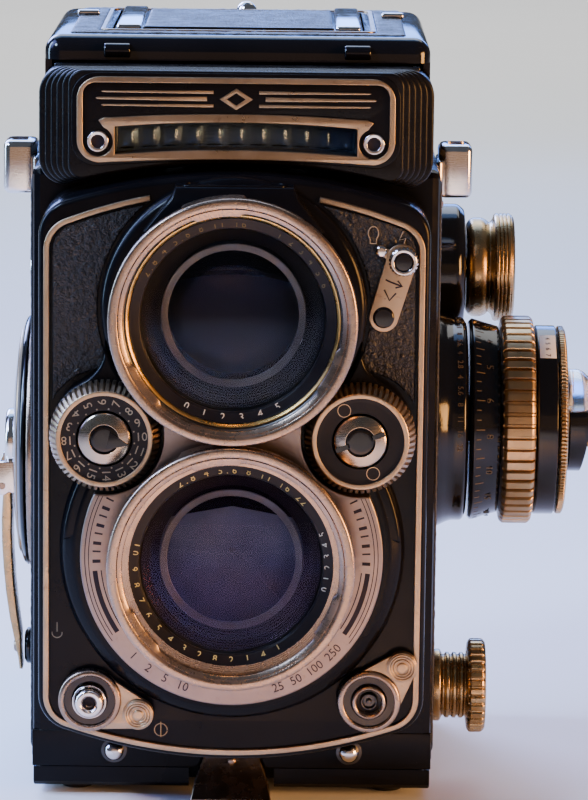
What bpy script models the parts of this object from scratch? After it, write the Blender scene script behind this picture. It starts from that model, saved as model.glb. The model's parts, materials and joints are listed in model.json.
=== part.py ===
# Twin lens reflex camera, 6 x 6 roll film, built as an assembly of separate pieces.
# Blender 4.5.  Metres, +Z up.  The camera looks along -Y; +X is to the right of
# someone who stands in front of it.  The origin is on the tripod bush's face, 7 mm
# in front of its screw hole, in the plane that the camera rests on.
import bpy
import bmesh
import math
from mathutils import Vector

MM = 0.001

# ---------------------------------------------------------------- dimensions (mm)
BODY_HALF_W = 38.5          # die-cast body, half its width
BODY_FRONT, BODY_BACK = -30.0, 32.0
BODY_BOTTOM, BODY_TOP = 6.0, 122.0
WALL_IN = 33.0              # inner half width, clears a 61.5 mm film spool
VIEW_Z = 98.2               # viewing lens axis height
TAKE_Z = 52.6               # taking lens axis height (45.6 mm below)
LENS_R = 22.7               # outer radius of both filter bayonets
BOARD_HALF_W = 36.2         # moving lens board
BOARD_FRONT, BOARD_REAR = -48.0, -31.0
BOARD_TOP, BOARD_BOTTOM = 122.85, 12.2
WHEEL_X, WHEEL_Z = 23.5, 75.2
BLOCK_HALF_W, BLOCK_TOP = 36.7, 141.6
BLOCK_FRONT = -42.0
FOCUS_Y, FOCUS_Z, FOCUS_R = -3.0, 69.7, 20.35
TAKEUP_Y, TAKEUP_Z = 19.5, 96.5
SUPPLY_Y, SUPPLY_Z = -12.0, 18.2
CRANK_Y, CRANK_Z = 0.0, 64.0
ARM_X, ARM_Z = -45.8, 55.8  # crank arm's fold axis
LID_Y, LID_Z = -28.0, 144.0 # hood lid's hinge axis
FLAP_X, FLAP_Z = 31.0, 130.0
REAR_Y, REAR_Z = 28.2, 138.0
BACK_Y, BACK_Z = 33.8, 120.2
BUSH_Y = 7.0                # tripod screw hole, near the middle of the base
LATCH_Y, LATCH_Z = -24.6, 3.6
RELEASE_X, RELEASE_Z = -26.4, 24.0
SYNC_X, SYNC_Z = 25.9, 24.3
SELECT_X, SELECT_Z = 27.6, 97.0

for old in list(bpy.data.objects):
    bpy.data.objects.remove(old, do_unlink=True)

CAMERA = bpy.data.collections.new("twin_lens_reflex_camera")
CUTTERS = bpy.data.collections.new("cutters")
bpy.context.scene.collection.children.link(CAMERA)
bpy.context.scene.collection.children.link(CUTTERS)


# ---------------------------------------------------------------- materials
def material(name, colour, roughness, metallic=0.0, alpha=1.0):
    m = bpy.data.materials.new(name)
    m.use_nodes = True
    b = m.node_tree.nodes["Principled BSDF"]
    b.inputs["Base Color"].default_value = (*colour, 1.0)
    b.inputs["Roughness"].default_value = roughness
    b.inputs["Metallic"].default_value = metallic
    b.inputs["Alpha"].default_value = alpha
    return m


BLACK = material("black_enamel", (0.012, 0.012, 0.014), 0.30)
LEATHER = material("black_leather", (0.018, 0.018, 0.018), 0.60)
CHROME = material("chrome", (0.62, 0.60, 0.58), 0.15, 1.0)
SILVER = material("satin_silver", (0.55, 0.50, 0.45), 0.35, 1.0)
GLASS = material("glass", (0.75, 0.80, 0.85), 0.03, 0.0, 0.35)
MIRROR = material("mirror", (0.9, 0.9, 0.9), 0.03, 1.0)
DARK = material("dark_metal", (0.03, 0.03, 0.032), 0.5, 0.6)
BRASS = material("brass", (0.55, 0.38, 0.13), 0.3, 1.0)
CELL = material("cell_glass", (0.10, 0.13, 0.18), 0.12, 0.0, 0.6)


# ---------------------------------------------------------------- helpers
def link(obj, mat, cutter):
    if cutter:
        CUTTERS.objects.link(obj)
        obj.hide_render = True
        obj.display_type = "WIRE"
    else:
        CAMERA.objects.link(obj)
        obj.data.materials.append(mat)
    return obj


def box(name, xs, ys, zs, mat=None, bevel=0.0, seg=2, at=(0, 0, 0), cutter=False):
    """A block between world limits in mm, with its origin at `at`."""
    bm = bmesh.new()
    bmesh.ops.create_cube(bm, size=1.0)
    size = [(v[1] - v[0]) * MM for v in (xs, ys, zs)]
    mid = [((v[1] + v[0]) / 2 - a) * MM for v, a in zip((xs, ys, zs), at)]
    bmesh.ops.scale(bm, vec=size, verts=bm.verts)
    bmesh.ops.translate(bm, vec=mid, verts=bm.verts)
    me = bpy.data.meshes.new(name)
    bm.to_mesh(me)
    bm.free()
    obj = bpy.data.objects.new(name, me)
    obj.location = Vector(at) * MM
    link(obj, mat, cutter)
    if bevel:
        b = obj.modifiers.new("round", "BEVEL")
        b.width = bevel * MM
        b.segments = seg
        b.limit_method = "ANGLE"
        b.angle_limit = math.radians(40)
    return obj


TURN = {"Z": (0, 0, 0), "Y": (-math.pi / 2, 0, 0), "X": (0, math.pi / 2, 0)}


def turned(name, profile, axis, at, steps=32, mat=None, ring=False, cutter=False):
    """A profile of (radius, position along the axis from `at`) turned about X, Y or Z."""
    area = sum(
        a[0] * b[1] - b[0] * a[1] for a, b in zip(profile, profile[1:] + profile[:1])
    )
    if area > 0:
        profile = profile[::-1]
    me = bpy.data.meshes.new(name)
    n = len(profile)
    edges = [(i, i + 1) for i in range(n - 1)] + ([(n - 1, 0)] if ring else [])
    me.from_pydata([(r * MM, 0, h * MM) for r, h in profile], edges, [])
    obj = bpy.data.objects.new(name, me)
    obj.location = Vector(at) * MM
    obj.rotation_euler = TURN[axis]
    link(obj, mat, cutter)
    s = obj.modifiers.new("turn", "SCREW")
    s.axis = "Z"
    s.angle = 2 * math.pi
    s.steps = s.render_steps = steps
    s.use_merge_vertices = True
    s.merge_threshold = 1e-5
    s.use_smooth_shade = False
    return obj


def disc(name, r, a0, a1, axis, at, steps=32, mat=None, cutter=False):
    return turned(name, [(0, a1), (r, a1), (r, a0), (0, a0)], axis, at, steps, mat, False, cutter)


def tube(name, r0, r1, a0, a1, axis, at, steps=32, mat=None, cutter=False):
    return turned(name, [(r0, a1), (r1, a1), (r1, a0), (r0, a0)], axis, at, steps, mat, True, cutter)


FACE = {
    "XY": (0, 0, 0),
    "XZ": (math.pi / 2, 0, 0),
    "YZ": (math.pi / 2, 0, math.pi / 2),
}


def plate(name, outlines, face, depth, mat=None, at=(0, 0, 0), cutter=False):
    """A flat outline with holes, extruded between two depths along its normal.
    Outlines are world coordinates of the plane's two axes in mm."""
    i, j, k = {"XY": (0, 1, 2), "XZ": (0, 2, 1), "YZ": (1, 2, 0)}[face]
    cu = bpy.data.curves.new(name, "CURVE")
    cu.dimensions = "2D"
    cu.fill_mode = "BOTH"
    cu.extrude = (depth[1] - depth[0]) / 2 * MM
    for pts in outlines:
        sp = cu.splines.new("POLY")
        sp.points.add(len(pts) - 1)
        for p, (u, v) in zip(sp.points, pts):
            p.co = ((u - at[i]) * MM, (v - at[j]) * MM, 0, 1)
        sp.use_cyclic_u = True
    obj = bpy.data.objects.new(name, cu)
    where = list(at)
    where[k] = (depth[0] + depth[1]) / 2
    obj.location = Vector(where) * MM
    obj.rotation_euler = FACE[face]
    link(obj, mat, cutter)
    return obj


def as_mesh(obj):
    """The same object as a welded mesh, so that it can be cut or joined."""
    bpy.context.view_layer.update()
    graph = bpy.context.evaluated_depsgraph_get()
    me = bpy.data.meshes.new_from_object(obj.evaluated_get(graph))
    bm = bmesh.new()
    bm.from_mesh(me)
    bmesh.ops.remove_doubles(bm, verts=bm.verts, dist=1e-6)
    bmesh.ops.recalc_face_normals(bm, faces=bm.faces)
    bm.to_mesh(me)
    bm.free()
    name, matrix, cutter = obj.name, obj.matrix_world.copy(), obj.hide_render
    bpy.data.objects.remove(obj, do_unlink=True)
    made = bpy.data.objects.new(name, me)
    made.matrix_world = matrix
    if cutter:
        CUTTERS.objects.link(made)
        made.hide_render = True
        made.display_type = "WIRE"
    else:
        CAMERA.objects.link(made)
    return made


def cut(obj, *tools):
    for t in tools:
        m = obj.modifiers.new("cut", "BOOLEAN")
        m.operation = "DIFFERENCE"
        m.solver = "EXACT"
        m.object = t
    return obj


def join(obj, *tools):
    for t in tools:
        m = obj.modifiers.new("join", "BOOLEAN")
        m.operation = "UNION"
        m.solver = "EXACT"
        m.object = t
    return obj


def axis_at(name, at, parent=None):
    """An empty on a joint's axis, which carries the pieces that move with it."""
    e = bpy.data.objects.new(name, None)
    e.empty_display_size = 0.006
    CAMERA.objects.link(e)
    e.location = Vector(at) * MM
    if parent is not None:
        e.parent = parent
        e.location = Vector(at) * MM - world_of(parent)
    return e


def world_of(obj):
    p = Vector(obj.location)
    return p + world_of(obj.parent) if obj.parent else p


def carry(empty, *objs):
    for o in objs:
        where = Vector(o.location)
        o.parent = empty
        o.location = where - world_of(empty)


def arc(cx, cz, r, a0, a1, n):
    return [
        (cx + r * math.cos(math.radians(a0 + (a1 - a0) * i / n)),
         cz + r * math.sin(math.radians(a0 + (a1 - a0) * i / n)))
        for i in range(n + 1)
    ]


def circle(cx, cz, r, n=32):
    return arc(cx, cz, r, 0, 360, n)[:-1]


def knurl(cx, cz, r, depth, teeth, top=0.32):
    """A toothed circle: flat-topped teeth, four points a tooth."""
    pts = []
    for i in range(teeth):
        for f, rr in ((0.0, r - depth), (0.5 - top / 2, r - depth), (0.5, r), (0.5 + top, r)):
            a = 2 * math.pi * (i + f) / teeth
            pts.append((cx + rr * math.cos(a), cz + rr * math.sin(a)))
    return pts


def bowed(half_w, top, k_top, bottom, k_bottom, r, n=10, nc=4):
    """A rectangle whose top and bottom edges bow, with round corners."""
    def edge(k, rc):
        xs = half_w - rc
        for _ in range(6):
            xs = half_w - rc + rc * math.sin(math.atan(2 * k * xs))
        return xs, math.degrees(math.atan(2 * k * xs))
    xt, at = edge(k_top, r)
    xb, ab = edge(abs(k_bottom), r)
    sign = 1 if k_bottom > 0 else -1
    zt = lambda x: top - k_top * x * x
    zb = lambda x: bottom + k_bottom * x * x
    right = []
    for i in range(n + 1):
        x = xt * i / n
        right.append((x, zt(x)))
    c = (xt - r * math.sin(math.radians(at)), zt(xt) - r * math.cos(math.radians(at)))
    right += arc(c[0], c[1], r, 90 - at, 0, nc)[1:]
    if sign > 0:
        c = (xb - r * math.sin(math.radians(ab)), zb(xb) + r * math.cos(math.radians(ab)))
        right += arc(c[0], c[1], r, 0, -90 + ab, nc)
    else:
        xb = half_w - r
        right += arc(xb, zb(xb) + r, r, 0, -90, nc)
    for i in range(n - 1, -1, -1):
        x = xb * i / n
        right.append((x, zb(x)))
    left = [(-x, z) for x, z in reversed(right[1:-1])]
    return right + left


# ================================================================ body, static pieces
body_casting = box("body_casting", (-BODY_HALF_W, BODY_HALF_W), (BODY_FRONT, BODY_BACK),
                   (BODY_BOTTOM, BODY_TOP), BLACK, bevel=1.6)
collar = as_mesh(plate("collar_union", [bowed(34.3, 120.9, 0.005, 14.2, 0.0055, 5.0, n=6, nc=3)], "XZ",
                       (-41.0, -29.0), cutter=True))
front_window = as_mesh(plate("front_window", [bowed(32.4, 116.8, 0.003, 16.4, 0.0055, 4.0, n=6, nc=3)], "XZ",
                             (-60.0, -20.0), cutter=True))
join(body_casting, collar)
cut(body_casting,
    box("room", (-WALL_IN, WALL_IN), (-26, 50), (-5, 117.6), cutter=True),
    box("top_window", (-29.5, 29.5), (-25, 27.5), (110, 130), cutter=True),
    front_window,
    disc("focus_hole", 5.0, 25, 50, "X", (0, FOCUS_Y, FOCUS_Z), 20, cutter=True),
    disc("takeup_hole", 2.8, 25, 50, "X", (0, TAKEUP_Y, TAKEUP_Z), 16, cutter=True),
    disc("supply_hole", 2.8, 25, 50, "X", (0, SUPPLY_Y, SUPPLY_Z), 16, cutter=True),
    disc("crank_hole", 3.5, -50, -25, "X", (0, CRANK_Y, CRANK_Z), 16, cutter=True))

block_outline = bowed(BLOCK_HALF_W, BLOCK_TOP, 0.0, 123.7, -0.0042, 5.0, n=8, nc=4)
nameplate_block = as_mesh(plate("nameplate_block", [block_outline], "XZ", (BLOCK_FRONT, -30.3), BLACK))
band_low = [(x, 126.9 - 0.0019 * x * x) for x in [-22.6 + 45.2 * i / 8 for i in range(9)]]
band_high = [(x, z + 5.3) for x, z in reversed(band_low)]
cell_pocket = as_mesh(plate("cell_pocket", [band_low + band_high], "XZ", (-45, -38.6), cutter=True))
cut(nameplate_block, cell_pocket)

cell_low = [(x, 127.25 - 0.0019 * x * x) for x in [-22.2 + 44.4 * i / 8 for i in range(9)]]
cell_high = [(x, z + 4.6) for x, z in reversed(cell_low)]
selenium_cell = plate("selenium_cell", [cell_low + cell_high], "XZ", (-42.2, -38.9), CELL)

frame_out = bowed(29.4, 140.3, 0.0, 125.3, -0.0012, 4.2, n=6, nc=4)
name_hole = bowed(28.3, 139.2, 0.0, 133.5, -0.0014, 2.2, n=6, nc=3)
trim_hole = [(x, z) for x, z in band_low + band_high]
nameplate_trim = plate("nameplate_trim", [frame_out, name_hole, trim_hole], "XZ",
                       (-42.9, -42.3), SILVER)


def strap_lug(name, side):
    lug = box(name, tuple(sorted((side * 38.8, side * 45.2))), (-9.5, -0.5), (114.0, 124.3), CHROME, bevel=1.2)
    slot = box(name + "_slot", tuple(sorted((side * 40.6, side * 43.6))), (-8.0, -2.0), (118.4, 130.0), cutter=True)
    eye = box(name + "_eye", tuple(sorted((side * 42.0, side * 50.0))), (-6.2, -3.8), (117.0, 130.0), cutter=True)
    return cut(lug, slot, eye)


strap_lug_left = strap_lug("strap_lug_left", -1)
strap_lug_right = strap_lug("strap_lug_right", 1)

crank_escutcheon = tube("crank_escutcheon", 6.0, 25.6, -39.8, -38.8, "X", (0, CRANK_Y, CRANK_Z), 40, DARK)
frame_counter = turned("frame_counter", [(0, -39.2), (3.4, -39.2), (3.7, -39.5), (4.2, -39.5), (4.5, -39.2), (4.5, -38.8), (0, -38.8)],
                       "X", (0, -15.0, 100.5), 24, CHROME)

focus_bezel = turned("focus_bezel", [(5.0, 44.9), (18.6, 44.9), (19.9, 44.0), (19.9, 41.6), (21.4, 38.8), (5.0, 38.8)],
                     "X", (0, FOCUS_Y, FOCUS_Z), 40, BLACK, True)
meter_housing = turned("meter_housing", [(0, 70.2), (9.0, 70.2), (10.0, 69.2), (10.0, 64.4), (2.6, 64.4), (2.6, 29.2), (0, 29.2)],
                       "X", (0, FOCUS_Y, FOCUS_Z), 36, BLACK)
# the outer face slopes back towards its foot, and the top is left open for the window
wedge = box("meter_wedge", (0, 12), (-14, 14), (-30, 30), cutter=True)
wedge.location = Vector((70.6, FOCUS_Y, FOCUS_Z + 10)) * MM
wedge.rotation_euler = (0, math.radians(9.5), 0)
window_room = box("window_room", (64.0, 75), (-12 + FOCUS_Y, 12 + FOCUS_Y), (FOCUS_Z + 3.2, FOCUS_Z + 14), cutter=True)
cut(meter_housing, wedge, window_room)
meter_window = turned("meter_window", [(0, 70.2), (8.8, 70.2), (10.0, 69.0), (10.0, 64.4), (0, 64.4)],
                      "X", (0, FOCUS_Y, FOCUS_Z), 36, CELL)
cut(meter_window, box("below_window", (60, 75), (-14, 14), (FOCUS_Z - 14, FOCUS_Z + 3.5), cutter=True), wedge)

takeup_knob_collar = turned("takeup_knob_collar", [(2.8, 45.0), (11.6, 45.0), (12.6, 43.8), (12.6, 38.8), (2.8, 38.8)],
                            "X", (0, TAKEUP_Y, TAKEUP_Z), 32, BLACK, True)

# mirror at 45 degrees under the screen, on the viewing lens axis
mirror = box("mirror", (-32.6, 32.6), (-31.0, 31.0), (-0.8, 0.8), MIRROR)
mirror.location = Vector((0, 0.6, VIEW_Z - 0.6)) * MM
mirror.rotation_euler = (math.radians(45), 0, 0)
cut(mirror, box("mirror_foot", (-40, 40), (-40, -22.0), (60, 130), cutter=True),
    box("mirror_head", (-40, 40), (18.8, 40), (90, 140), cutter=True))

gate_out = [(-32.6, 23.0), (32.6, 23.0), (32.6, 83.2), (-32.6, 83.2)]
gate_in = [(-28.0, TAKE_Z - 28), (28.0, TAKE_Z - 28), (28.0, TAKE_Z + 28), (-28.0, TAKE_Z + 28)]
film_gate = plate("film_gate", [gate_out, gate_in], "XZ", (25.6, 27.6), DARK)

film_roller_lower = disc("film_roller_lower", 2.6, -31.8, 31.8, "X", (0, 28.2, 17.6), 16, CHROME)
film_roller_upper = disc("film_roller_upper", 1.6, -31.8, 31.8, "X", (0, 30.4, 82.4), 16, CHROME)

back_hinge_pin = disc("back_hinge_pin", 1.5, -33.0, 33.0, "X", (0, BACK_Y, BACK_Z), 16, CHROME)

ground_glass = box("ground_glass", (-31.4, 31.4), (-26.6, 28.2), (122.4, 124.0), GLASS)
hood_base = box("hood_base", (-34.6, 34.6), (-29.3, 29.9), (122.4, 127.3), DARK)
join(hood_base, box("hood_front_wall", (-34.0, 34.0), (-29.3, -28.1), (125, 140.7), cutter=True),
     box("hood_rear_wall", (-34.0, 34.0), (28.9, 29.9), (125, 137.0), cutter=True))
cut(hood_base, box("hood_room", (-31.8, 31.8), (-27.0, 28.6), (110, 160), cutter=True))

# ================================================================ folding hood
lid_axis = axis_at("axis_hood_lid", (0, LID_Y, LID_Z))
hood_lid = box("hood_lid", (-36.2, 36.2), (-29.5, 31.6), (128.2, 146.6), BLACK, bevel=3.0, seg=3)
cut(hood_lid,
    box("lid_room", (-35.0, 35.0), (-27.9, 30.4), (120, 145.2), cutter=True),
    box("lid_foot", (-50, 50), (-40, 40), (120, 128.8), cutter=True),
    box("lid_front_low", (-50, 50), (-40, -26.5), (120, 142.0), cutter=True),
    box("lid_window", (-24.0, 24.0), (-19.0, 24.0), (140, 150), cutter=True))
sports_finder_door = box("sports_finder_door", (-23.6, 23.6), (-18.6, 23.6), (145.3, 147.2), LEATHER, bevel=0.4, seg=1)
magnifier = tube("magnifier", 9.0, 11.5, 142.6, 144.9, "Z", (0, 2.0, 0), 24, DARK)
carry(lid_axis, hood_lid, sports_finder_door, magnifier)

left_axis = axis_at("axis_hood_flap_left", (-FLAP_X, 0, FLAP_Z))
right_axis = axis_at("axis_hood_flap_right", (FLAP_X, 0, FLAP_Z))
rear_axis = axis_at("axis_hood_flap_rear", (0, REAR_Y, REAR_Z))
side_flap = [(1.0, -25.5), (15.0, -25.5), (29.6, -17.0), (29.6, 9.0), (7.0, 26.6), (1.0, 26.6)]
hood_flap_left = plate("hood_flap_left", [[(-FLAP_X + r, y) for r, y in side_flap]], "XY",
                       (FLAP_Z - 0.4, FLAP_Z + 0.4), DARK, at=(-FLAP_X, 0, 0))
hood_flap_right = plate("hood_flap_right", [[(FLAP_X - r, y) for r, y in side_flap]], "XY",
                        (FLAP_Z - 0.4, FLAP_Z + 0.4), DARK, at=(FLAP_X, 0, 0))
hood_flap_rear = box("hood_flap_rear", (-29.6, 29.6), (-5.4, 27.6), (REAR_Z - 0.4, REAR_Z + 0.4), DARK,
                     at=(0, REAR_Y, REAR_Z))
carry(left_axis, hood_flap_left)
carry(right_axis, hood_flap_right)
carry(rear_axis, hood_flap_rear)

# ================================================================ back
back_axis = axis_at("axis_back", (0, BACK_Y, BACK_Z))
ell = ([(32.6, 118.0), (32.6, 5.6), (-29.6, 5.6), (-29.6, 2.6), (-28.8, 1.8)]
       + arc(30.2, 7.6, 5.8, -90, 0, 5) + [(36.0, 115.0), (34.6, 118.0)])
back_cover = as_mesh(plate("back_cover", [ell], "YZ", (-38.2, 38.2), BLACK))
cut(back_cover, box("latch_bay", (-8.2, 8.2), (-40, -22.4), (-5, 10), cutter=True))
for fx, fy in ((-30, -22), (30, -22), (-30, 26), (30, 26)):
    join(back_cover, disc("foot_%d_%d" % (fx, fy), 3.4, 0.0, 2.4, "Z", (fx, fy, 0), 16, cutter=True))
cut(back_cover, disc("bush_hole", 3.4, -2, 9, "Z", (0, BUSH_Y, 0), 20, cutter=True))
tripod_bush = tube("tripod_bush", 3.1, 10.5, 0.0, 1.5, "Z", (0, BUSH_Y, 0), 32, CHROME)
pressure_plate = box("pressure_plate", (-30.5, 30.5), (28.6, 30.0), (24.6, 79.6), DARK, bevel=0.4, seg=1)
latch_side = ([(-24.6, 5.4), (-30.4, 5.4), (-33.0, 4.6), (-35.6, 2.2), (-36.4, 0.8), (-36.0, 0.4), (-34.8, 1.0),
               (-32.2, 2.9), (-30.0, 3.6), (-26.0, 3.6)] + arc(-24.6, 3.6, 1.5, -60, 60, 4))
latch_axis = axis_at("axis_back_latch", (0, LATCH_Y, LATCH_Z), back_axis)
back_latch = plate("back_latch", [latch_side], "YZ", (-7.7, 7.7), CHROME, at=(0, LATCH_Y, LATCH_Z))
carry(back_axis, back_cover, tripod_bush)
plate_axis = axis_at("axis_pressure_plate", (0, 29.3, TAKE_Z), back_axis)
carry(plate_axis, pressure_plate)
carry(latch_axis, back_latch)

# ================================================================ crank
crank_axis = axis_at("axis_crank", (0, CRANK_Y, CRANK_Z))
crank_disc = turned("crank_disc", [(0, -45.3), (5.4, -45.3), (6.0, -44.7), (6.0, -43.3), (13.0, -43.3), (20.5, -42.4),
                                   (24.4, -41.0), (24.8, -40.1), (3.0, -40.1), (3.0, -31.0), (0, -31.0)],
                    "X", (0, CRANK_Y, CRANK_Z), 40, BLACK)
# two ears on the hub hold the folding arm
join(crank_disc, box("ear_front", (-47.2, -42.6), (-5.9, -4.4), (54.0, 60.5), bevel=0.6, seg=2, cutter=True),
     box("ear_rear", (-47.2, -42.6), (4.4, 5.9), (54.0, 60.5), bevel=0.6, seg=2, cutter=True))
arm_axis = axis_at("axis_crank_arm", (ARM_X, 0, ARM_Z), crank_axis)
arm_side = ([(-45.6, 54.2), (-45.9, 44.0), (-45.2, 34.0), (-43.4, 24.0), (-42.6, 18.0), (-41.9, 18.0), (-42.1, 25.0),
             (-43.6, 36.0), (-43.9, 46.0), (-43.9, 54.6)] + arc(ARM_X, ARM_Z, 1.5, 10, 230, 8))
crank_arm = plate("crank_arm", [arm_side], "XZ", (-4.0, 4.0), CHROME, at=(ARM_X, 0, ARM_Z))
handle_axis = axis_at("axis_crank_handle", (-40.5, 0, 22.4), arm_axis)
crank_handle = turned("crank_handle", [(0, -39.85), (2.8, -39.85), (3.6, -40.3), (3.6, -41.2), (2.8, -41.55), (0, -41.55)],
                      "X", (0, 0, 22.4), 20, BLACK)
carry(crank_axis, crank_disc)
carry(arm_axis, crank_arm)
carry(handle_axis, crank_handle)

# ================================================================ focus knob and spool knobs
focus_axis = axis_at("axis_focus_knob", (0, FOCUS_Y, FOCUS_Z))
distance_scale_ring = turned("distance_scale_ring",
                             [(3.0, 51.2), (18.2, 51.2), (19.7, 45.9), (19.0, 45.3), (4.4, 45.3), (4.4, 32.6),
                              (9.0, 32.6), (9.0, 30.4), (3.0, 30.4)], "X", (0, FOCUS_Y, FOCUS_Z), 40, BLACK, True)
focus_grip_ring = plate("focus_grip_ring", [knurl(FOCUS_Y, FOCUS_Z, FOCUS_R, 0.9, 48), circle(FOCUS_Y, FOCUS_Z, 3.0, 16)],
                        "YZ", (51.5, 57.9), CHROME, at=(0, FOCUS_Y, FOCUS_Z))
meter_band = tube("meter_band", 3.0, 18.5, 58.2, 62.2, "X", (0, FOCUS_Y, FOCUS_Z), 40, BLACK)
carry(focus_axis, distance_scale_ring, focus_grip_ring, meter_band)
speed_axis = axis_at("axis_film_speed_ring", (63.3, FOCUS_Y, FOCUS_Z))
film_speed_ring = tube("film_speed_ring", 3.0, 18.4, 62.5, 64.1, "X", (0, FOCUS_Y, FOCUS_Z), 40, CHROME)
carry(speed_axis, film_speed_ring)
tab_axis = axis_at("axis_meter_range_tab", (68.2, FOCUS_Y, FOCUS_Z - 1.0))
meter_range_tab = box("meter_range_tab", (-0.7, 1.5), (-1.6, 1.6), (-3.6, 1.6), BRASS, bevel=0.4, seg=1)
meter_range_tab.location = Vector((69.75, FOCUS_Y, FOCUS_Z - 1.6)) * MM
meter_range_tab.rotation_euler = (0, math.radians(9.5), 0)
carry(tab_axis, meter_range_tab)

takeup_axis = axis_at("axis_takeup_knob", (40, TAKEUP_Y, TAKEUP_Z))
takeup_spool_knob = turned("takeup_spool_knob",
                           [(0, 54.9), (9.6, 54.9), (10.8, 54.2), (10.8, 51.0), (8.9, 50.0), (9.9, 48.6), (9.9, 46.6),
                            (8.6, 45.4), (2.2, 45.4), (2.2, 29.6), (0, 29.6)], "X", (0, TAKEUP_Y, TAKEUP_Z), 32, CHROME)
carry(takeup_axis, takeup_spool_knob)
supply_axis = axis_at("axis_supply_knob", (40, SUPPLY_Y, SUPPLY_Z))
supply_spool_knob = turned("supply_spool_knob",
                           [(0, 49.3), (8.4, 49.3), (9.2, 48.7), (9.2, 46.2), (8.6, 45.7), (6.3, 45.7), (6.3, 39.0),
                            (2.2, 39.0), (2.2, 29.6), (0, 29.6)], "X", (0, SUPPLY_Y, SUPPLY_Z), 32, CHROME)
carry(supply_axis, supply_spool_knob)

spool_axis = axis_at("axis_takeup_spool", (0, TAKEUP_Y, TAKEUP_Z))
takeup_spool = turned("takeup_spool",
                      [(2.9, 30.8), (12.2, 30.8), (12.2, 29.9), (4.6, 29.9), (4.6, -29.9), (12.2, -29.9), (12.2, -30.8),
                       (2.9, -30.8)], "X", (0, TAKEUP_Y, TAKEUP_Z), 28, DARK, True)
carry(spool_axis, takeup_spool)

# ================================================================ lens board and all that it carries
board_axis = axis_at("axis_lens_board", (0, -39.0, 75.0))
outline = bowed(BOARD_HALF_W, BOARD_TOP, 0.005, BOARD_BOTTOM, 0.0055, 7.0, n=9, nc=4)
inner = bowed(BOARD_HALF_W - 1.2, BOARD_TOP - 1.2, 0.005, BOARD_BOTTOM + 1.2, 0.0055, 5.8, n=9, nc=4)
lens_board = as_mesh(plate("lens_board", [outline], "XZ", (BOARD_FRONT, BOARD_REAR), BLACK))
cut(lens_board,
    as_mesh(plate("board_room", [inner], "XZ", (BOARD_FRONT + 2.0, 0), cutter=True)),
    disc("view_hole", 15.0, -60, -40, "Y", (0, 0, VIEW_Z), 28, cutter=True),
    disc("take_hole", 15.0, -60, -40, "Y", (0, 0, TAKE_Z), 28, cutter=True),
    disc("release_hole", 3.0, -60, -40, "Y", (RELEASE_X, 0, RELEASE_Z), 20, cutter=True))

# silver line: up both sides, open at the top between the two ends
edge_out = bowed(BOARD_HALF_W - 1.0, BOARD_TOP - 2.2, 0.0062, BOARD_BOTTOM + 1.0, 0.0055, 6.2, n=9, nc=5)
edge_in = bowed(BOARD_HALF_W - 2.1, BOARD_TOP - 3.3, 0.0062, BOARD_BOTTOM + 2.1, 0.0055, 5.1, n=9, nc=5)


def open_at_top(pts):
    keep = [p for p in pts if not (abs(p[0]) < 15.0 and p[1] > 80)]
    start = next(i for i, p in enumerate(keep) if p[0] > 0 and p[1] > 80 and
                 all(q[0] >= p[0] for q in keep if q[0] > 0 and q[1] > 105))
    return keep[start:] + keep[:start]


board_trim = plate("board_trim", [open_at_top(edge_out) + open_at_top(edge_in)[::-1]], "XZ", (-48.8, -48.3), SILVER)

# raised black surround that the shutter and both wheels sit on
escutcheon = turned("escutcheon", [(0, -51.6), (29.6, -51.6), (31.9, -49.6), (32.2, -48.3), (0, -48.3)], "Y",
                    (0, 0, TAKE_Z), 48, BLACK)
join(escutcheon,
     disc("surround_view", 24.6, -51.5, -48.3, "Y", (0, 0, VIEW_Z), 40, cutter=True),
     disc("surround_left", 10.2, -51.4, -48.3, "Y", (-WHEEL_X, 0, WHEEL_Z), 24, cutter=True),
     disc("surround_right", 10.2, -51.4, -48.3, "Y", (WHEEL_X, 0, WHEEL_Z), 24, cutter=True))
cut(escutcheon, disc("sv_hole", 15.0, -60, -40, "Y", (0, 0, VIEW_Z), 28, cutter=True),
    disc("st_hole", 15.0, -60, -40, "Y", (0, 0, TAKE_Z), 28, cutter=True),
    box("surround_top_cut", (-60, 60), (-60, -40), (118.6, 140), cutter=True))

shutter_housing = turned("shutter_housing", [(14.6, -55.4), (27.6, -55.4), (28.0, -55.0), (28.0, -51.9), (14.6, -51.9)],
                         "Y", (0, 0, TAKE_Z), 48, SILVER, True)
# hollowed where the two wheels dip into its rim
cut(shutter_housing, disc("wheel_room_left", 10.8, -60, -50, "Y", (-WHEEL_X, 0, WHEEL_Z), 36, cutter=True),
    disc("wheel_room_right", 10.8, -60, -50, "Y", (WHEEL_X, 0, WHEEL_Z), 36, cutter=True),
    disc("view_barrel_room", 20.8, -60, -50, "Y", (0, 0, VIEW_Z), 48, cutter=True))
taking_barrel = turned("taking_barrel", [(17.0, -62.2), (18.9, -62.6), (19.4, -65.0), (20.4, -65.0), (20.4, -55.7),
                                         (14.2, -55.7), (14.2, -44.0), (12.4, -44.0), (12.4, -58.0), (17.0, -58.0)],
                       "Y", (0, 0, TAKE_Z), 40, BLACK, True)
taking_glass = turned("taking_glass", [(0, -61.4), (6, -61.1), (11, -60.4), (16.6, -58.9), (16.6, -58.3), (0, -58.3)],
                      "Y", (0, 0, TAKE_Z), 32, GLASS)
taking_bayonet = turned("taking_bayonet", [(20.8, -66.0), (22.1, -66.0), (LENS_R, -65.2), (LENS_R, -59.6), (20.8, -59.6)],
                        "Y", (0, 0, TAKE_Z), 48, CHROME, True)
viewing_barrel = turned("viewing_barrel", [(17.0, -63.4), (18.6, -63.8), (19.5, -65.2), (20.4, -65.2), (20.4, -51.9),
                                           (14.6, -51.9), (14.6, -44.0), (12.6, -44.0), (12.6, -59.0), (17.0, -59.0)],
                        "Y", (0, 0, VIEW_Z), 40, BLACK, True)
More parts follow.
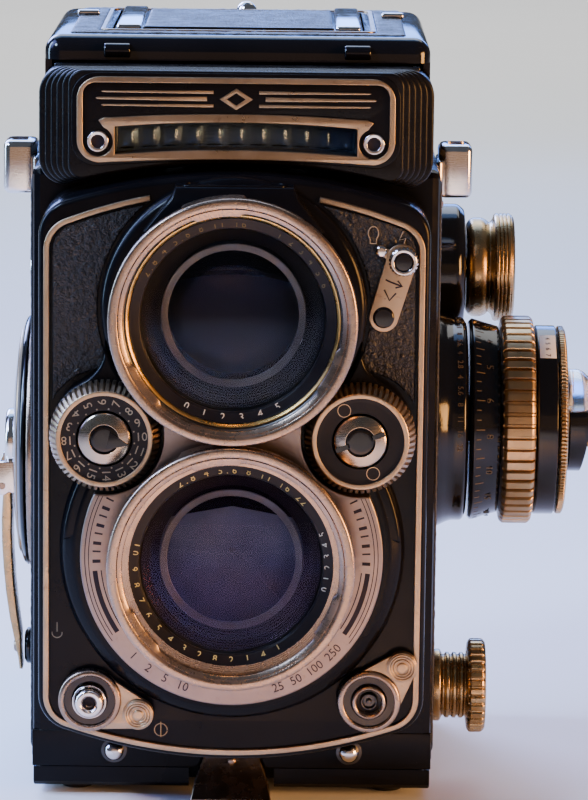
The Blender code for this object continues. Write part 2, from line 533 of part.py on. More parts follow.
viewing_glass = turned("viewing_glass", [(0, -62.4), (6, -62.1), (11, -61.4), (16.6, -59.9), (16.6, -59.3), (0, -59.3)],
                       "Y", (0, 0, VIEW_Z), 32, GLASS)
viewing_bayonet = turned("viewing_bayonet", [(20.8, -66.0), (22.1, -66.0), (LENS_R, -65.2), (LENS_R, -59.6), (20.8, -59.6)],
                         "Y", (0, 0, VIEW_Z), 48, CHROME, True)
settings_window = as_mesh(plate("settings_window", [[(-16.5, 113.6), (-11.2, 119.2), (-10.6, 121.6), (10.6, 121.6),
                                                     (11.2, 119.2), (16.5, 113.6)]], "XZ", (-57.0, -52.0), BLACK))
cut(settings_window, disc("window_lens_room", 20.8, -70, -40, "Y", (0, 0, VIEW_Z), 48, cutter=True))
# its foot reaches back over the surround's cut top to the board
join(settings_window, box("window_foot", (-10.6, 10.6), (-52.5, -48.3), (119.0, 121.6), cutter=True))

carry(board_axis, lens_board, board_trim, escutcheon, shutter_housing, taking_barrel, taking_glass, taking_bayonet,
      viewing_barrel, viewing_glass, viewing_bayonet, settings_window)


def setting_wheel(name, side):
    """Knurled rim that flares to the rear, with a sunk face for its dial."""
    w = turned(name, [(5.2, -57.6), (8.0, -57.6), (8.2, -58.0), (8.9, -58.0), (10.3, -56.4), (10.3, -52.2), (5.2, -52.2)],
               "Y", (side * WHEEL_X, 0, WHEEL_Z), 36, CHROME, True)
    # the lens barrels pass close by at this depth, so the wheel keeps a plain round rim
    return w


aperture_axis = axis_at("axis_aperture_wheel", (-WHEEL_X, -55, WHEEL_Z), board_axis)
aperture_wheel = setting_wheel("aperture_wheel", -1)
carry(aperture_axis, aperture_wheel)
shutter_axis = axis_at("axis_shutter_wheel", (WHEEL_X, -55, WHEEL_Z), board_axis)
shutter_wheel = setting_wheel("shutter_wheel", 1)
carry(shutter_axis, shutter_wheel)
hub = [(0, -58.0), (2.6, -58.0), (2.6, -58.3), (4.8, -57.7), (4.8, -51.9), (0, -51.9)]
aperture_hub = turned("aperture_hub", hub, "Y", (-WHEEL_X, 0, WHEEL_Z), 28, CHROME)
shutter_hub = turned("shutter_hub", hub, "Y", (WHEEL_X, 0, WHEEL_Z), 28, CHROME)
carry(board_axis, aperture_hub, shutter_hub)

release_axis = axis_at("axis_release_button", (RELEASE_X, -50, RELEASE_Z), board_axis)
release_button = turned("release_button", [(0, -51.8), (1.3, -51.8), (1.3, -53.4), (2.2, -53.4), (2.6, -53.0), (2.6, -48.4), (0, -48.4)],
                        "Y", (RELEASE_X, 0, RELEASE_Z), 24, CHROME)
carry(release_axis, release_button)


def lock_lever(name, x, z, gx, gz):
    """A collar round the centre, with a grip pad on an arm."""
    a = math.degrees(math.atan2(gz, gx))
    far = math.hypot(gx, gz)
    arm = (arc(x, z, 5.9, a + 62, a + 298, 20)
           + arc(x + gx, z + gz, 2.8, a - 68, a + 68, 8))
    lever = as_mesh(plate(name, [arm, circle(x, z, 3.3, 24)], "XZ", (-50.1, -49.1), CHROME, at=(x, 0, z)))
    join(lever, turned(name + "_rim", [(4.9, -51.0), (5.6, -51.0), (5.9, -50.6), (5.9, -49.3), (4.9, -49.3)], "Y", (x, 0, z), 28, ring=True, cutter=True),
         turned(name + "_pad", [(0, -51.2), (1.6, -51.2), (2.9, -50.6), (2.9, -49.3), (0, -49.3)], "Y", (x + gx, 0, z + gz), 20, cutter=True))
    return lever


lock_axis = axis_at("axis_release_lock", (RELEASE_X, -50, RELEASE_Z), board_axis)
release_lock_lever = lock_lever("release_lock_lever", RELEASE_X, RELEASE_Z, 9.1, -2.6)
carry(lock_axis, release_lock_lever)
sync_lock_axis = axis_at("axis_sync_lock", (SYNC_X, -50, SYNC_Z), board_axis)
sync_lock_lever = lock_lever("sync_lock_lever", SYNC_X, SYNC_Z, 6.1, 6.7)
carry(sync_lock_axis, sync_lock_lever)
sync_socket = turned("sync_socket", [(0, -49.4), (0.7, -49.4), (0.7, -50.2), (1.2, -50.2), (1.2, -49.2), (2.2, -49.2), (2.2, -51.4), (2.9, -51.4), (2.9, -48.4), (0, -48.4)],
                     "Y", (SYNC_X, 0, SYNC_Z), 24, CHROME)
carry(board_axis, sync_socket)

select_axis = axis_at("axis_sync_selector", (SELECT_X, -49.5, SELECT_Z), board_axis)
kx, kz = SELECT_X + 3.5, SELECT_Z + 10.6
strip = arc(SELECT_X, SELECT_Z, 2.7, 162, 342, 10) + arc(kx - 0.3, kz + 0.2, 2.9, -18, 162, 10)
sync_selector_lever = as_mesh(plate("sync_selector_lever", [strip], "XZ", (-49.5, -48.5), CHROME, at=(SELECT_X, 0, SELECT_Z)))
join(sync_selector_lever,
     turned("selector_knob", [(0, -51.6), (2.2, -51.6), (2.75, -51.0), (2.75, -49.0), (0, -49.0)], "Y", (kx, 0, kz), 24, cutter=True),
     disc("selector_pivot", 2.0, -50.1, -49.0, "Y", (SELECT_X, 0, SELECT_Z), 20, cutter=True))
carry(select_axis, sync_selector_lever)
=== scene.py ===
import bpy
import bmesh
import json
import math
from mathutils import Matrix, Vector, noise

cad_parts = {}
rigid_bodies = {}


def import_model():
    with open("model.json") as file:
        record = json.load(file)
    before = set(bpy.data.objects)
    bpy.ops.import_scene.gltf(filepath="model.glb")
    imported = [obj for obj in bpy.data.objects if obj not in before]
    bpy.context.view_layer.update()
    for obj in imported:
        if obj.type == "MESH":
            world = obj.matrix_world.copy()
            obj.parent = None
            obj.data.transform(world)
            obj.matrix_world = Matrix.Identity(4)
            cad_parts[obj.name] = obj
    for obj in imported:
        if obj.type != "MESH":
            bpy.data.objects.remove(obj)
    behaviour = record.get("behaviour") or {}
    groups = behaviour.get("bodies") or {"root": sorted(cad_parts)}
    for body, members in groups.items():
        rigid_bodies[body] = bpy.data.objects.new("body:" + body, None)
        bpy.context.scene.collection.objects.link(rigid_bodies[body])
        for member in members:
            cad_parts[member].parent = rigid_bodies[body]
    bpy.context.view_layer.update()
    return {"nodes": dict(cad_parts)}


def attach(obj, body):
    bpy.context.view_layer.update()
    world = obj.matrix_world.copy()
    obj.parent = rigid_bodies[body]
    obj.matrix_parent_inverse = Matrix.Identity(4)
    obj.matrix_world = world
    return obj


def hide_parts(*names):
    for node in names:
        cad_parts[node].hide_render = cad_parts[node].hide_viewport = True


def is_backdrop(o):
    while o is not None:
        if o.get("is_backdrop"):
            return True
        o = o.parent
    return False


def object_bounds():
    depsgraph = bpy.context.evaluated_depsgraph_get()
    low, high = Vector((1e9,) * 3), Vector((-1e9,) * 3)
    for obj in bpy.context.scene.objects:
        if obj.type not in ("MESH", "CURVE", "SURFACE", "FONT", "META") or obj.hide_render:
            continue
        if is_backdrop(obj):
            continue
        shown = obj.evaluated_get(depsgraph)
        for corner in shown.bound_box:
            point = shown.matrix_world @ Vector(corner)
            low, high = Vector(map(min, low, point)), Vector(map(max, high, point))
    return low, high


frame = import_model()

N = frame["nodes"]
MM = 0.001
VIEW_Z, TAKE_Z = 98.2, 52.6
WHEEL_X, WHEEL_Z = 23.5, 75.2
FY, FZ = -3.0, 69.7            # focus knob axis
UY, UZ = 19.5, 96.5            # take-up knob axis
SY, SZ = -12.0, 18.2           # supply knob axis
CY, CZ = 0.0, 64.0             # crank axis
RX, RZ = -26.4, 24.0           # release button
QX, QZ = 25.9, 24.3            # flash socket
LX, LZ = 27.6, 97.0            # selector lever pivot

# ------------------------------------------------------------------ materials


def new_mat(name):
    m = bpy.data.materials.new(name)
    m.use_nodes = True
    nt = m.node_tree
    b = nt.nodes["Principled BSDF"]
    return m, nt, b


def setv(b, **kw):
    names = {"base": "Base Color", "rough": "Roughness", "metal": "Metallic", "ior": "IOR",
             "coat": "Coat Weight", "coat_rough": "Coat Roughness", "coat_ior": "Coat IOR",
             "spec": "Specular IOR Level", "trans": "Transmission Weight", "alpha": "Alpha",
             "sheen": "Sheen Weight", "sheen_rough": "Sheen Roughness", "film": "Thin Film Thickness",
             "film_ior": "Thin Film IOR", "aniso": "Anisotropic"}
    for k, v in kw.items():
        s = b.inputs[names[k]]
        s.default_value = (*v, 1.0) if isinstance(v, tuple) and len(v) == 3 else v


def coords(nt):
    return nt.nodes.new("ShaderNodeTexCoord").outputs["Object"]


def noise_tex(nt, vec, scale, detail=4.0, rough=0.55, distort=0.0):
    n = nt.nodes.new("ShaderNodeTexNoise")
    n.inputs["Scale"].default_value = scale
    n.inputs["Detail"].default_value = detail
    n.inputs["Roughness"].default_value = rough
    n.inputs["Distortion"].default_value = distort
    nt.links.new(vec, n.inputs["Vector"])
    return n


def ramp(nt, fac, stops):
    r = nt.nodes.new("ShaderNodeValToRGB")
    e = r.color_ramp.elements
    while len(e) < len(stops):
        e.new(0.5)
    for el, (p, c) in zip(e, stops):
        el.position = p
        el.color = (*c, 1.0) if isinstance(c, tuple) else (c, c, c, 1.0)
    nt.links.new(fac, r.inputs["Fac"])
    return r.outputs["Color"]


def to_range(nt, fac, lo, hi, a=0.3, b=0.7):
    m = nt.nodes.new("ShaderNodeMapRange")
    m.inputs["From Min"].default_value = a
    m.inputs["From Max"].default_value = b
    m.inputs["To Min"].default_value = lo
    m.inputs["To Max"].default_value = hi
    nt.links.new(fac, m.inputs["Value"])
    return m.outputs["Result"]


def mix_col(nt, fac, a, b):
    m = nt.nodes.new("ShaderNodeMix")
    m.data_type = "RGBA"
    for sock, v in ((m.inputs[6], a), (m.inputs[7], b)):
        if isinstance(v, tuple):
            sock.default_value = (*v, 1.0)
        else:
            nt.links.new(v, sock)
    if isinstance(fac, float):
        m.inputs[0].default_value = fac
    else:
        nt.links.new(fac, m.inputs[0])
    return m.outputs[2]


def math_node(nt, op, a, b=None):
    m = nt.nodes.new("ShaderNodeMath")
    m.operation = op
    for i, v in enumerate((a, b)):
        if v is None:
            continue
        if isinstance(v, (int, float)):
            m.inputs[i].default_value = v
        else:
            nt.links.new(v, m.inputs[i])
    return m.outputs[0]


def bump(nt, b, height, strength, distance, base=None):
    n = nt.nodes.new("ShaderNodeBump")
    n.inputs["Strength"].default_value = strength
    n.inputs["Distance"].default_value = distance
    nt.links.new(height, n.inputs["Height"])
    if base is not None:
        nt.links.new(base, n.inputs["Normal"])
    nt.links.new(n.outputs["Normal"], b.inputs["Normal"])
    return n.outputs["Normal"]


def painted(name, dark, light, rough, spread, coat=0.0, peel=0.05, specks=0.0, speck_col=(0.20, 0.17, 0.14), spec=0.16):
    """Stoved paint: slight mottling, orange peel, fine specks of wear."""
    m, nt, b = new_mat(name)
    v = coords(nt)
    broad = noise_tex(nt, v, 60.0, 5.0)
    col = mix_col(nt, to_range(nt, broad.outputs["Fac"], 0.0, 1.0), dark, light)
    if specks:
        fine = noise_tex(nt, v, 1500.0, 3.0, 0.7)
        patch = noise_tex(nt, v, 120.0, 2.0)
        s = math_node(nt, "MULTIPLY", to_range(nt, fine.outputs["Fac"], 0.0, 1.0, 0.69, 0.74),
                      to_range(nt, patch.outputs["Fac"], 0.0, specks, 0.45, 0.7))
        col = mix_col(nt, s, col, speck_col)
    nt.links.new(col, b.inputs["Base Color"])
    nt.links.new(to_range(nt, noise_tex(nt, v, 180.0, 6.0).outputs["Fac"], rough - spread, rough + spread),
                 b.inputs["Roughness"])
    bump(nt, b, noise_tex(nt, v, 1400.0, 2.0).outputs["Fac"], peel, 0.0004)
    setv(b, spec=spec, coat=coat, coat_rough=0.08)
    return m


def metal(name, a, c, rough, spread, grain=0.04, scale=2600.0, scratch=0.0, tarnish=None):
    """Plated or turned metal: varied roughness, fine grain, faint tarnish."""
    m, nt, b = new_mat(name)
    v = coords(nt)
    broad = noise_tex(nt, v, 110.0, 6.0, 0.6)
    col = mix_col(nt, to_range(nt, broad.outputs["Fac"], 0.0, 1.0), a, c)
    if tarnish:
        spots = noise_tex(nt, v, 420.0, 5.0, 0.65, 0.6)
        col = mix_col(nt, to_range(nt, spots.outputs["Fac"], 0.0, 0.75, 0.60, 0.74), col, tarnish)
    nt.links.new(col, b.inputs["Base Color"])
    nt.links.new(to_range(nt, noise_tex(nt, v, 320.0, 6.0, 0.6).outputs["Fac"], rough - spread, rough + spread),
                 b.inputs["Roughness"])
    n = bump(nt, b, noise_tex(nt, v, scale, 3.0, 0.6).outputs["Fac"], grain, 0.0002)
    if scratch:
        mp = nt.nodes.new("ShaderNodeMapping")
        mp.inputs["Scale"].default_value = (1.0, 1.0, 24.0)
        mp.inputs["Rotation"].default_value = (0.5, 0.2, 0.9)
        nt.links.new(v, mp.inputs["Vector"])
        bump(nt, b, noise_tex(nt, mp.outputs["Vector"], 260.0, 2.0, 0.8).outputs["Fac"], scratch, 0.0003, n)
    setv(b, metal=1.0)
    return m


def leather_mat(name, scale=1500.0):
    m, nt, b = new_mat(name)
    v = coords(nt)
    warp = noise_tex(nt, v, 300.0, 3.0)
    mv = nt.nodes.new("ShaderNodeMix")
    mv.data_type = "VECTOR"
    mv.inputs[0].default_value = 0.0016
    nt.links.new(v, mv.inputs[4])
    nt.links.new(warp.outputs["Color"], mv.inputs[5])
    vor = nt.nodes.new("ShaderNodeTexVoronoi")
    vor.feature = "DISTANCE_TO_EDGE"
    vor.inputs["Scale"].default_value = scale
    nt.links.new(mv.outputs[1], vor.inputs["Vector"])
    pebble_and_crevice_shade = to_range(nt, vor.outputs["Distance"], 0.0, 1.0, 0.0, 0.28)
    fine = noise_tex(nt, v, 3200.0, 4.0, 0.7)
    h = math_node(nt, "ADD", pebble_and_crevice_shade, math_node(nt, "MULTIPLY", fine.outputs["Fac"], 0.25))
    patch = noise_tex(nt, v, 90.0, 4.0)
    top = mix_col(nt, to_range(nt, patch.outputs["Fac"], 0.0, 1.0), (0.0060, 0.0060, 0.0068), (0.0130, 0.0120, 0.0125))
    # colour: darker in the crevices between the pebbles than on their tops, a painted shade in the crevices
    nt.links.new(mix_col(nt, pebble_and_crevice_shade, (0.0022, 0.0022, 0.0028), top), b.inputs["Base Color"])
    nt.links.new(to_range(nt, noise_tex(nt, v, 240.0, 5.0).outputs["Fac"], 0.36, 0.58), b.inputs["Roughness"])
    bump(nt, b, h, 0.35, 0.00030)
    setv(b, spec=0.42)
    return m


ENAMEL = painted("black_enamel", (0.0020, 0.0020, 0.0028), (0.0045, 0.0043, 0.0052), 0.20, 0.07, specks=0.25, spec=0.10)
ENAMEL_WORN = painted("black_enamel_worn", (0.0024, 0.0023, 0.0028), (0.0060, 0.0056, 0.0058), 0.27, 0.08, specks=0.8, peel=0.09, spec=0.12)
GLOSS = painted("gloss_black", (0.0022, 0.0022, 0.0034), (0.0045, 0.0045, 0.0060), 0.10, 0.04, coat=0.10, peel=0.03, spec=0.30)
MATT = painted("matt_black", (0.0022, 0.0022, 0.0025), (0.0045, 0.0043, 0.0045), 0.70, 0.10, peel=0.0)
DIAL = painted("dial_black", (0.0035, 0.0030, 0.0045), (0.0080, 0.0070, 0.0085), 0.36, 0.08, peel=0.06)
LEATHER = leather_mat("black_leather")
CHROME = metal("chrome", (0.78, 0.74, 0.71), (0.64, 0.60, 0.57), 0.11, 0.05, scratch=0.05, tarnish=(0.40, 0.31, 0.24))
STEEL = metal("satin_steel", (0.33, 0.245, 0.185), (0.25, 0.183, 0.137), 0.27, 0.06, scratch=0.05)
HUBMETAL = metal("brushed_hub", (0.46, 0.385, 0.295), (0.33, 0.270, 0.200), 0.20, 0.06, scratch=0.10)
GRIPMETAL = metal("grip_nickel", (0.50, 0.345, 0.18), (0.35, 0.235, 0.12), 0.34, 0.07, scratch=0.06, tarnish=(0.22, 0.14, 0.07))
NICKEL = metal("warm_nickel", (0.50, 0.345, 0.17), (0.34, 0.225, 0.105), 0.27, 0.07, scratch=0.06, tarnish=(0.18, 0.105, 0.045))
SILVER = metal("engraved_silver", (0.26, 0.207, 0.178), (0.205, 0.160, 0.138), 0.34, 0.06, grain=0.10, scale=5200.0,
               tarnish=(0.165, 0.118, 0.090))
TAN = metal("trim_silver", (0.41, 0.300, 0.19), (0.315, 0.225, 0.138), 0.34, 0.08, grain=0.12, scale=5200.0,
            tarnish=(0.20, 0.125, 0.075))
GOLD = metal("gilt_line", (0.62, 0.40, 0.13), (0.48, 0.30, 0.10), 0.28, 0.06)
BRASS = metal("worn_brass", (0.66, 0.44, 0.16), (0.46, 0.29, 0.11), 0.30, 0.10, tarnish=(0.24, 0.14, 0.07))
DARKMETAL = metal("dark_metal", (0.10, 0.095, 0.09), (0.055, 0.052, 0.05), 0.38, 0.08)
BLADE = metal("blade_steel", (0.10, 0.10, 0.11), (0.06, 0.06, 0.07), 0.38, 0.06)
MIRROR = metal("front_silvered", (0.93, 0.93, 0.94), (0.90, 0.90, 0.91), 0.03, 0.01, grain=0.0)
PAINT = painted("cream_fill", (0.18, 0.145, 0.10), (0.27, 0.23, 0.165), 0.50, 0.08, peel=0.1)
# a darker copy of the cream fill, for the faint figures on the focus knob
DIMPAINT = painted("dim_fill", (0.045, 0.032, 0.017), (0.13, 0.10, 0.06), 0.50, 0.08, peel=0.1)
PALE = painted("white_scale", (0.60, 0.62, 0.66), (0.74, 0.76, 0.80), 0.42, 0.06, peel=0.05)
INK = painted("black_fill", (0.008, 0.005, 0.010), (0.018, 0.013, 0.018), 0.50, 0.08, peel=0.1)
RUBBER = painted("foot_rubber", (0.008, 0.008, 0.008), (0.020, 0.020, 0.020), 0.65, 0.1, peel=0.2)


def glass_mat(name, film, tint=(1.0, 1.0, 1.0), rough=0.0, ior=1.52, coat=(1.0, 1.0, 1.0)):
    m, nt, b = new_mat(name)
    v = coords(nt)
    # a breath of dust and cleaning marks, only in the roughness
    n = noise_tex(nt, v, 70.0, 2.0, 0.5, 0.4)
    nt.links.new(to_range(nt, n.outputs["Fac"], rough, rough + 0.006, 0.45, 0.80), b.inputs["Roughness"])
    nt.links.new(mix_col(nt, to_range(nt, n.outputs["Fac"], 0.0, 1.0), tint, tuple(0.97 * c for c in tint)),
                 b.inputs["Base Color"])
    b.inputs["Specular Tint"].default_value = (*coat, 1.0)
    setv(b, trans=1.0, ior=ior, film=film, film_ior=1.38)
    return m


GLASS_TAKE = glass_mat("coated_glass_taking", 0.0, (0.80, 0.80, 0.88), coat=(0.12, 0.09, 0.24))
GLASS_VIEW = glass_mat("coated_glass_viewing", 0.0, (0.82, 0.84, 0.88), coat=(0.10, 0.13, 0.20))
GLASS_IN = glass_mat("coated_inner_glass", 0.0, (0.72, 0.76, 0.86), coat=(0.12, 0.12, 0.22))
WINDOW = glass_mat("window_glass", 0.0, (0.45, 0.52, 0.62), 0.12, 1.49)
CELLGLASS = glass_mat("cell_lens_glass", 0.0, (0.62, 0.74, 0.86), 0.12, 1.5, coat=(0.10, 0.20, 0.46))
SCREEN = glass_mat("ground_glass", 0.0, (0.92, 0.95, 0.96), 0.45, 1.5)

# ------------------------------------------------------------------ mesh tools
AX = {"X": 0, "Y": 1, "Z": 2}


def soften(prof, closed, seg=4):
    """Rounds the corners of a profile whose points carry a third number, a radius."""
    out = []
    n = len(prof)
    for i, p in enumerate(prof):
        f = p[2] if len(p) > 2 else 0.0
        if f <= 0 or (not closed and i in (0, n - 1)):
            out.append((p[0], p[1]))
            continue
        a, b, c = Vector(prof[i - 1][:2]), Vector(p[:2]), Vector(prof[(i + 1) % n][:2])
        u, w = a - b, c - b
        lu, lw = u.length, w.length
        d = min(f, lu * 0.48, lw * 0.48)
        p0, p2 = b + u.normalized() * d, b + w.normalized() * d
        for k in range(seg + 1):
            t = k / seg
            q = p0 * (1 - t) ** 2 + b * 2 * t * (1 - t) + p2 * t * t
            out.append((q.x, q.y))
    return out


def spot(axis, c, r, a, t):
    u, v = r * math.cos(t), r * math.sin(t)
    if axis == "Y":
        return Vector((c[0] + u, a, c[1] + v)) * MM
    if axis == "X":
        return Vector((a, c[0] + u, c[1] + v)) * MM
    return Vector((c[0] + u, c[1] + v, a)) * MM


def finish(name, bm, mat, body, smooth=40.0, rep=(), weld=1e-6):
    bmesh.ops.remove_doubles(bm, verts=bm.verts, dist=weld)
    bmesh.ops.dissolve_degenerate(bm, edges=bm.edges, dist=1e-7)
    bmesh.ops.recalc_face_normals(bm, faces=bm.faces)
    me = bpy.data.meshes.new(name)
    bm.to_mesh(me)
    bm.free()
    me.shade_smooth()
    me.set_sharp_from_angle(angle=math.radians(smooth))
    me.materials.append(mat)
    ob = bpy.data.objects.new(name, me)
    bpy.context.scene.collection.objects.link(ob)
    if body is not None:
        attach(ob, body)
        if rep:
            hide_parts(*rep)
    return ob


def lathe(name, prof, axis, c, mat, body, steps=96, closed=False, mod=None, smooth=40.0, rep=(), t0=0.0, t1=360.0,
          seg=4, slot=None):
    pr = soften(prof, closed, seg)
    full = abs(t1 - t0 - 360.0) < 1e-6
    n = steps if full else steps + 1
    bm = bmesh.new()
    rows = []
    for r, a in pr:
        row = []
        for i in range(n):
            t = math.radians(t0 + (t1 - t0) * i / steps)
            rr, aa = mod(r, a, t) if mod else (r, a)
            row.append(bm.verts.new(spot(axis, c, rr, aa, t)))
        rows.append(row)
    m = len(pr)
    for j in range(m if closed else m - 1):
        A, B = rows[j], rows[(j + 1) % m]
        for i in range(n if full else n - 1):
            k = (i + 1) % n
            bm.faces.new((A[i], A[k], B[k], B[i]))
    if not full:
        ring = range(m)
        for e in (0, n - 1):
            if closed:
                bm.faces.new([rows[j][e] for j in ring])
    return finish(name, bm, mat, body, smooth, rep)


def curve_mesh(outlines, thick, bevel, res, name="tmp"):
    cu = bpy.data.curves.new(name, "CURVE")
    cu.dimensions = "2D"
    cu.fill_mode = "BOTH"
    cu.extrude = max(thick / 2 - bevel, 1e-4) * MM
    cu.bevel_depth = bevel * MM
    cu.bevel_resolution = res
    cu.offset = -bevel * MM
    for pts in outlines:
        sp = cu.splines.new("POLY")
        sp.points.add(len(pts) - 1)
        for p, (u, v) in zip(sp.points, pts):
            p.co = (u * MM, v * MM, 0, 1)
        sp.use_cyclic_u = True
    ob = bpy.data.objects.new(name, cu)
    bpy.context.scene.collection.objects.link(ob)
    bpy.context.view_layer.update()
    me = bpy.data.meshes.new_from_object(ob.evaluated_get(bpy.context.evaluated_depsgraph_get()))
    bpy.data.objects.remove(ob, do_unlink=True)
    return me


PLANE = {"XY": lambda p, m: Vector((p.x, p.y, p.z + m)),
         "XZ": lambda p, m: Vector((p.x, m - p.z, p.y)),
         "YZ": lambda p, m: Vector((m + p.z, p.x, p.y))}


def slab(name, outlines, plane, d0, d1, mat, body, bevel=0.0, res=2, smooth=40.0, rep=(), shape=None):
    """A flat outline with holes and rounded edges, between two depths."""
    me = curve_mesh(outlines, d1 - d0, bevel, res)
    bm = bmesh.new()
    bm.from_mesh(me)
    bpy.data.meshes.remove(me)
    mid = (d0 + d1) / 2 * MM
    for v in bm.verts:
        v.co = PLANE[plane](v.co, mid)
        if shape:
            v.co = shape(v.co)
    return finish(name, bm, mat, body, smooth, rep)


def block_bm(xs, ys, zs, bevel=0.0, seg=4):
    bm = bmesh.new()
    bmesh.ops.create_cube(bm, size=1.0)
    bmesh.ops.scale(bm, vec=[(v[1] - v[0]) * MM for v in (xs, ys, zs)], verts=bm.verts)
    bmesh.ops.translate(bm, vec=[(v[1] + v[0]) / 2 * MM for v in (xs, ys, zs)], verts=bm.verts)
    if bevel:
        bmesh.ops.bevel(bm, geom=list(bm.edges), offset=bevel * MM, segments=seg, profile=0.5, affect="EDGES",
                        clamp_overlap=True)
    return bm


def block(name, xs, ys, zs, mat, body, bevel=0.5, seg=3, rep=(), turn=None):
    bm = block_bm(xs, ys, zs, bevel, seg)
    if turn:
        bmesh.ops.transform(bm, matrix=turn, verts=bm.verts)
    return finish(name, bm, mat, body, 40.0, rep)


def temp(bm, name="cutter"):
    me = bpy.data.meshes.new(name)
    bmesh.ops.recalc_face_normals(bm, faces=bm.faces)
    bm.to_mesh(me)
    bm.free()
    ob = bpy.data.objects.new(name, me)
    bpy.context.scene.collection.objects.link(ob)
    return ob


def carve(name, base, cutters, mat, body, smooth=40.0, rep=(), unions=()):
    """base (an object) less the cutters; all of them are used up."""
    for c, op in [(u, "UNION") for u in unions] + [(c, "DIFFERENCE") for c in cutters]:
        md = base.modifiers.new("cut", "BOOLEAN")
        md.operation, md.solver, md.object = op, "EXACT", c
    bpy.context.view_layer.update()
    me = bpy.data.meshes.new_from_object(base.evaluated_get(bpy.context.evaluated_depsgraph_get()))
    bm = bmesh.new()
    bm.from_mesh(me)
    bpy.data.meshes.remove(me)
    for o in [base, *cutters, *unions]:
        bpy.data.objects.remove(o, do_unlink=True)
    return finish(name, bm, mat, body, smooth, rep)


def loose(ob):
    """Takes a finished piece back as a plain object for carve()."""
    ob.parent = None
    return ob


def wire(name, pts, r, mat, body, cyclic=False, res=3):
    cu = bpy.data.curves.new(name, "CURVE")
    cu.dimensions = "3D"
    cu.bevel_depth = r * MM
    cu.bevel_resolution = res
    cu.use_fill_caps = True
    sp = cu.splines.new("POLY")
    sp.points.add(len(pts) - 1)
    for p, q in zip(sp.points, pts):
        p.co = (*(Vector(q) * MM), 1)
    sp.use_cyclic_u = cyclic
    ob = bpy.data.objects.new(name, cu)
    bpy.context.scene.collection.objects.link(ob)
    bpy.context.view_layer.update()
    me = bpy.data.meshes.new_from_object(ob.evaluated_get(bpy.context.evaluated_depsgraph_get()))
    bpy.data.objects.remove(ob, do_unlink=True)
    bm = bmesh.new()
    bm.from_mesh(me)
    bpy.data.meshes.remove(me)
    return finish(name, bm, mat, body, 50.0)


def arc(cx, cz, r, a0, a1, n):
    return [(cx + r * math.cos(math.radians(a0 + (a1 - a0) * i / n)),
             cz + r * math.sin(math.radians(a0 + (a1 - a0) * i / n))) for i in range(n + 1)]


def circle(cx, cz, r, n=64):
    return arc(cx, cz, r, 0, 360, n)[:-1]


def sector(cx, cz, r0, r1, a0, a1, n=24):
    return arc(cx, cz, r1, a0, a1, n) + arc(cx, cz, r0, a1, a0, n)


def hull(pts):
    pts = sorted(set((round(p[0], 6), round(p[1], 6)) for p in pts))
    def half(ps):
        h = []
        for p in ps:
            while len(h) > 1 and ((h[-1][0] - h[-2][0]) * (p[1] - h[-2][1]) - (h[-1][1] - h[-2][1]) * (p[0] - h[-2][0])) <= 0:
                h.pop()
            h.append(p)
        return h
    a, b = half(pts), half(pts[::-1])
    return a[:-1] + b[:-1]


def bowed(half_w, top, k_top, bottom, k_bottom, r, n=16, nc=8):
    """A rectangle whose top and bottom edges bow, with round corners."""
    def edge(k, rc):
        xs = half_w - rc
        for _ in range(6):
            xs = half_w - rc + rc * math.sin(math.atan(2 * k * xs))
        return xs, math.degrees(math.atan(2 * k * xs))
    xt, at = edge(k_top, r)
    xb, ab = edge(abs(k_bottom), r)
    zt = lambda x: top - k_top * x * x
    zb = lambda x: bottom + k_bottom * x * x
    right = [(xt * i / n, zt(xt * i / n)) for i in range(n + 1)]
    c = (xt - r * math.sin(math.radians(at)), zt(xt) - r * math.cos(math.radians(at)))
    right += arc(c[0], c[1], r, 90 - at, 0, nc)[1:]
    if k_bottom > 0:
        c = (xb - r * math.sin(math.radians(ab)), zb(xb) + r * math.cos(math.radians(ab)))
        right += arc(c[0], c[1], r, 0, -90 + ab, nc)
    else:
        xb = half_w - r
        right += arc(xb, zb(xb) + r, r, 0, -90, nc)
    for i in range(n - 1, -1, -1):
        x = xb * i / n
        right.append((x, zb(x)))
    left = [(-x, z) for x, z in reversed(right[1:-1])]
    return right + left


def rounded(x0, x1, z0, z1, r, n=6):
    return (arc(x1 - r, z1 - r, r, 90, 0, n) + arc(x1 - r, z0 + r, r, 0, -90, n)
            + arc(x0 + r, z0 + r, r, -90, -180, n) + arc(x0 + r, z1 - r, r, 180, 90, n))


def polar(cx, cz, r, notches, n=360):
    """A circle with bites taken out of it by other circles (x, z, radius)."""
    pts = []
    for i in range(n):
        t = 2 * math.pi * i / n
        u = Vector((math.cos(t), math.sin(t)))
        q = r
        for nx, nz, nr in notches:
            c = Vector((nx - cx, nz - cz))
            b = u.dot(c)
            disc = b * b - (c.length_squared - nr * nr)
            if disc > 0 and b > 0:
                q = min(q, b - math.sqrt(disc))
        pts.append((cx + q * u.x, cz + q * u.y))
    return pts


_glyph = {}


def glyph(s):
    if s not in _glyph:
        cu = bpy.data.curves.new("glyph", "FONT")
        cu.body = s
        cu.size = 1.0
        cu.align_x, cu.align_y = "CENTER", "CENTER"
        cu.extrude = 0.03
        cu.resolution_u = 3
        ob = bpy.data.objects.new("glyph", cu)
        bpy.context.scene.collection.objects.link(ob)
        bpy.context.view_layer.update()
        me = bpy.data.meshes.new_from_object(ob.evaluated_get(bpy.context.evaluated_depsgraph_get()))
        bpy.data.objects.remove(ob, do_unlink=True)
        _glyph[s] = me
    return _glyph[s]


def placed(right, up, at, size):
    """Glyph plane to world: size in mm, at in mm."""
    r, u = Vector(right).normalized(), Vector(up).normalized()
    n = r.cross(u)
    m = Matrix(((r.x, u.x, n.x, 0), (r.y, u.y, n.y, 0), (r.z, u.z, n.z, 0), (0, 0, 0, 1)))
    return Matrix.Translation(Vector(at) * MM) @ m @ Matrix.Diagonal((size * MM, size * MM, size * MM, 1))


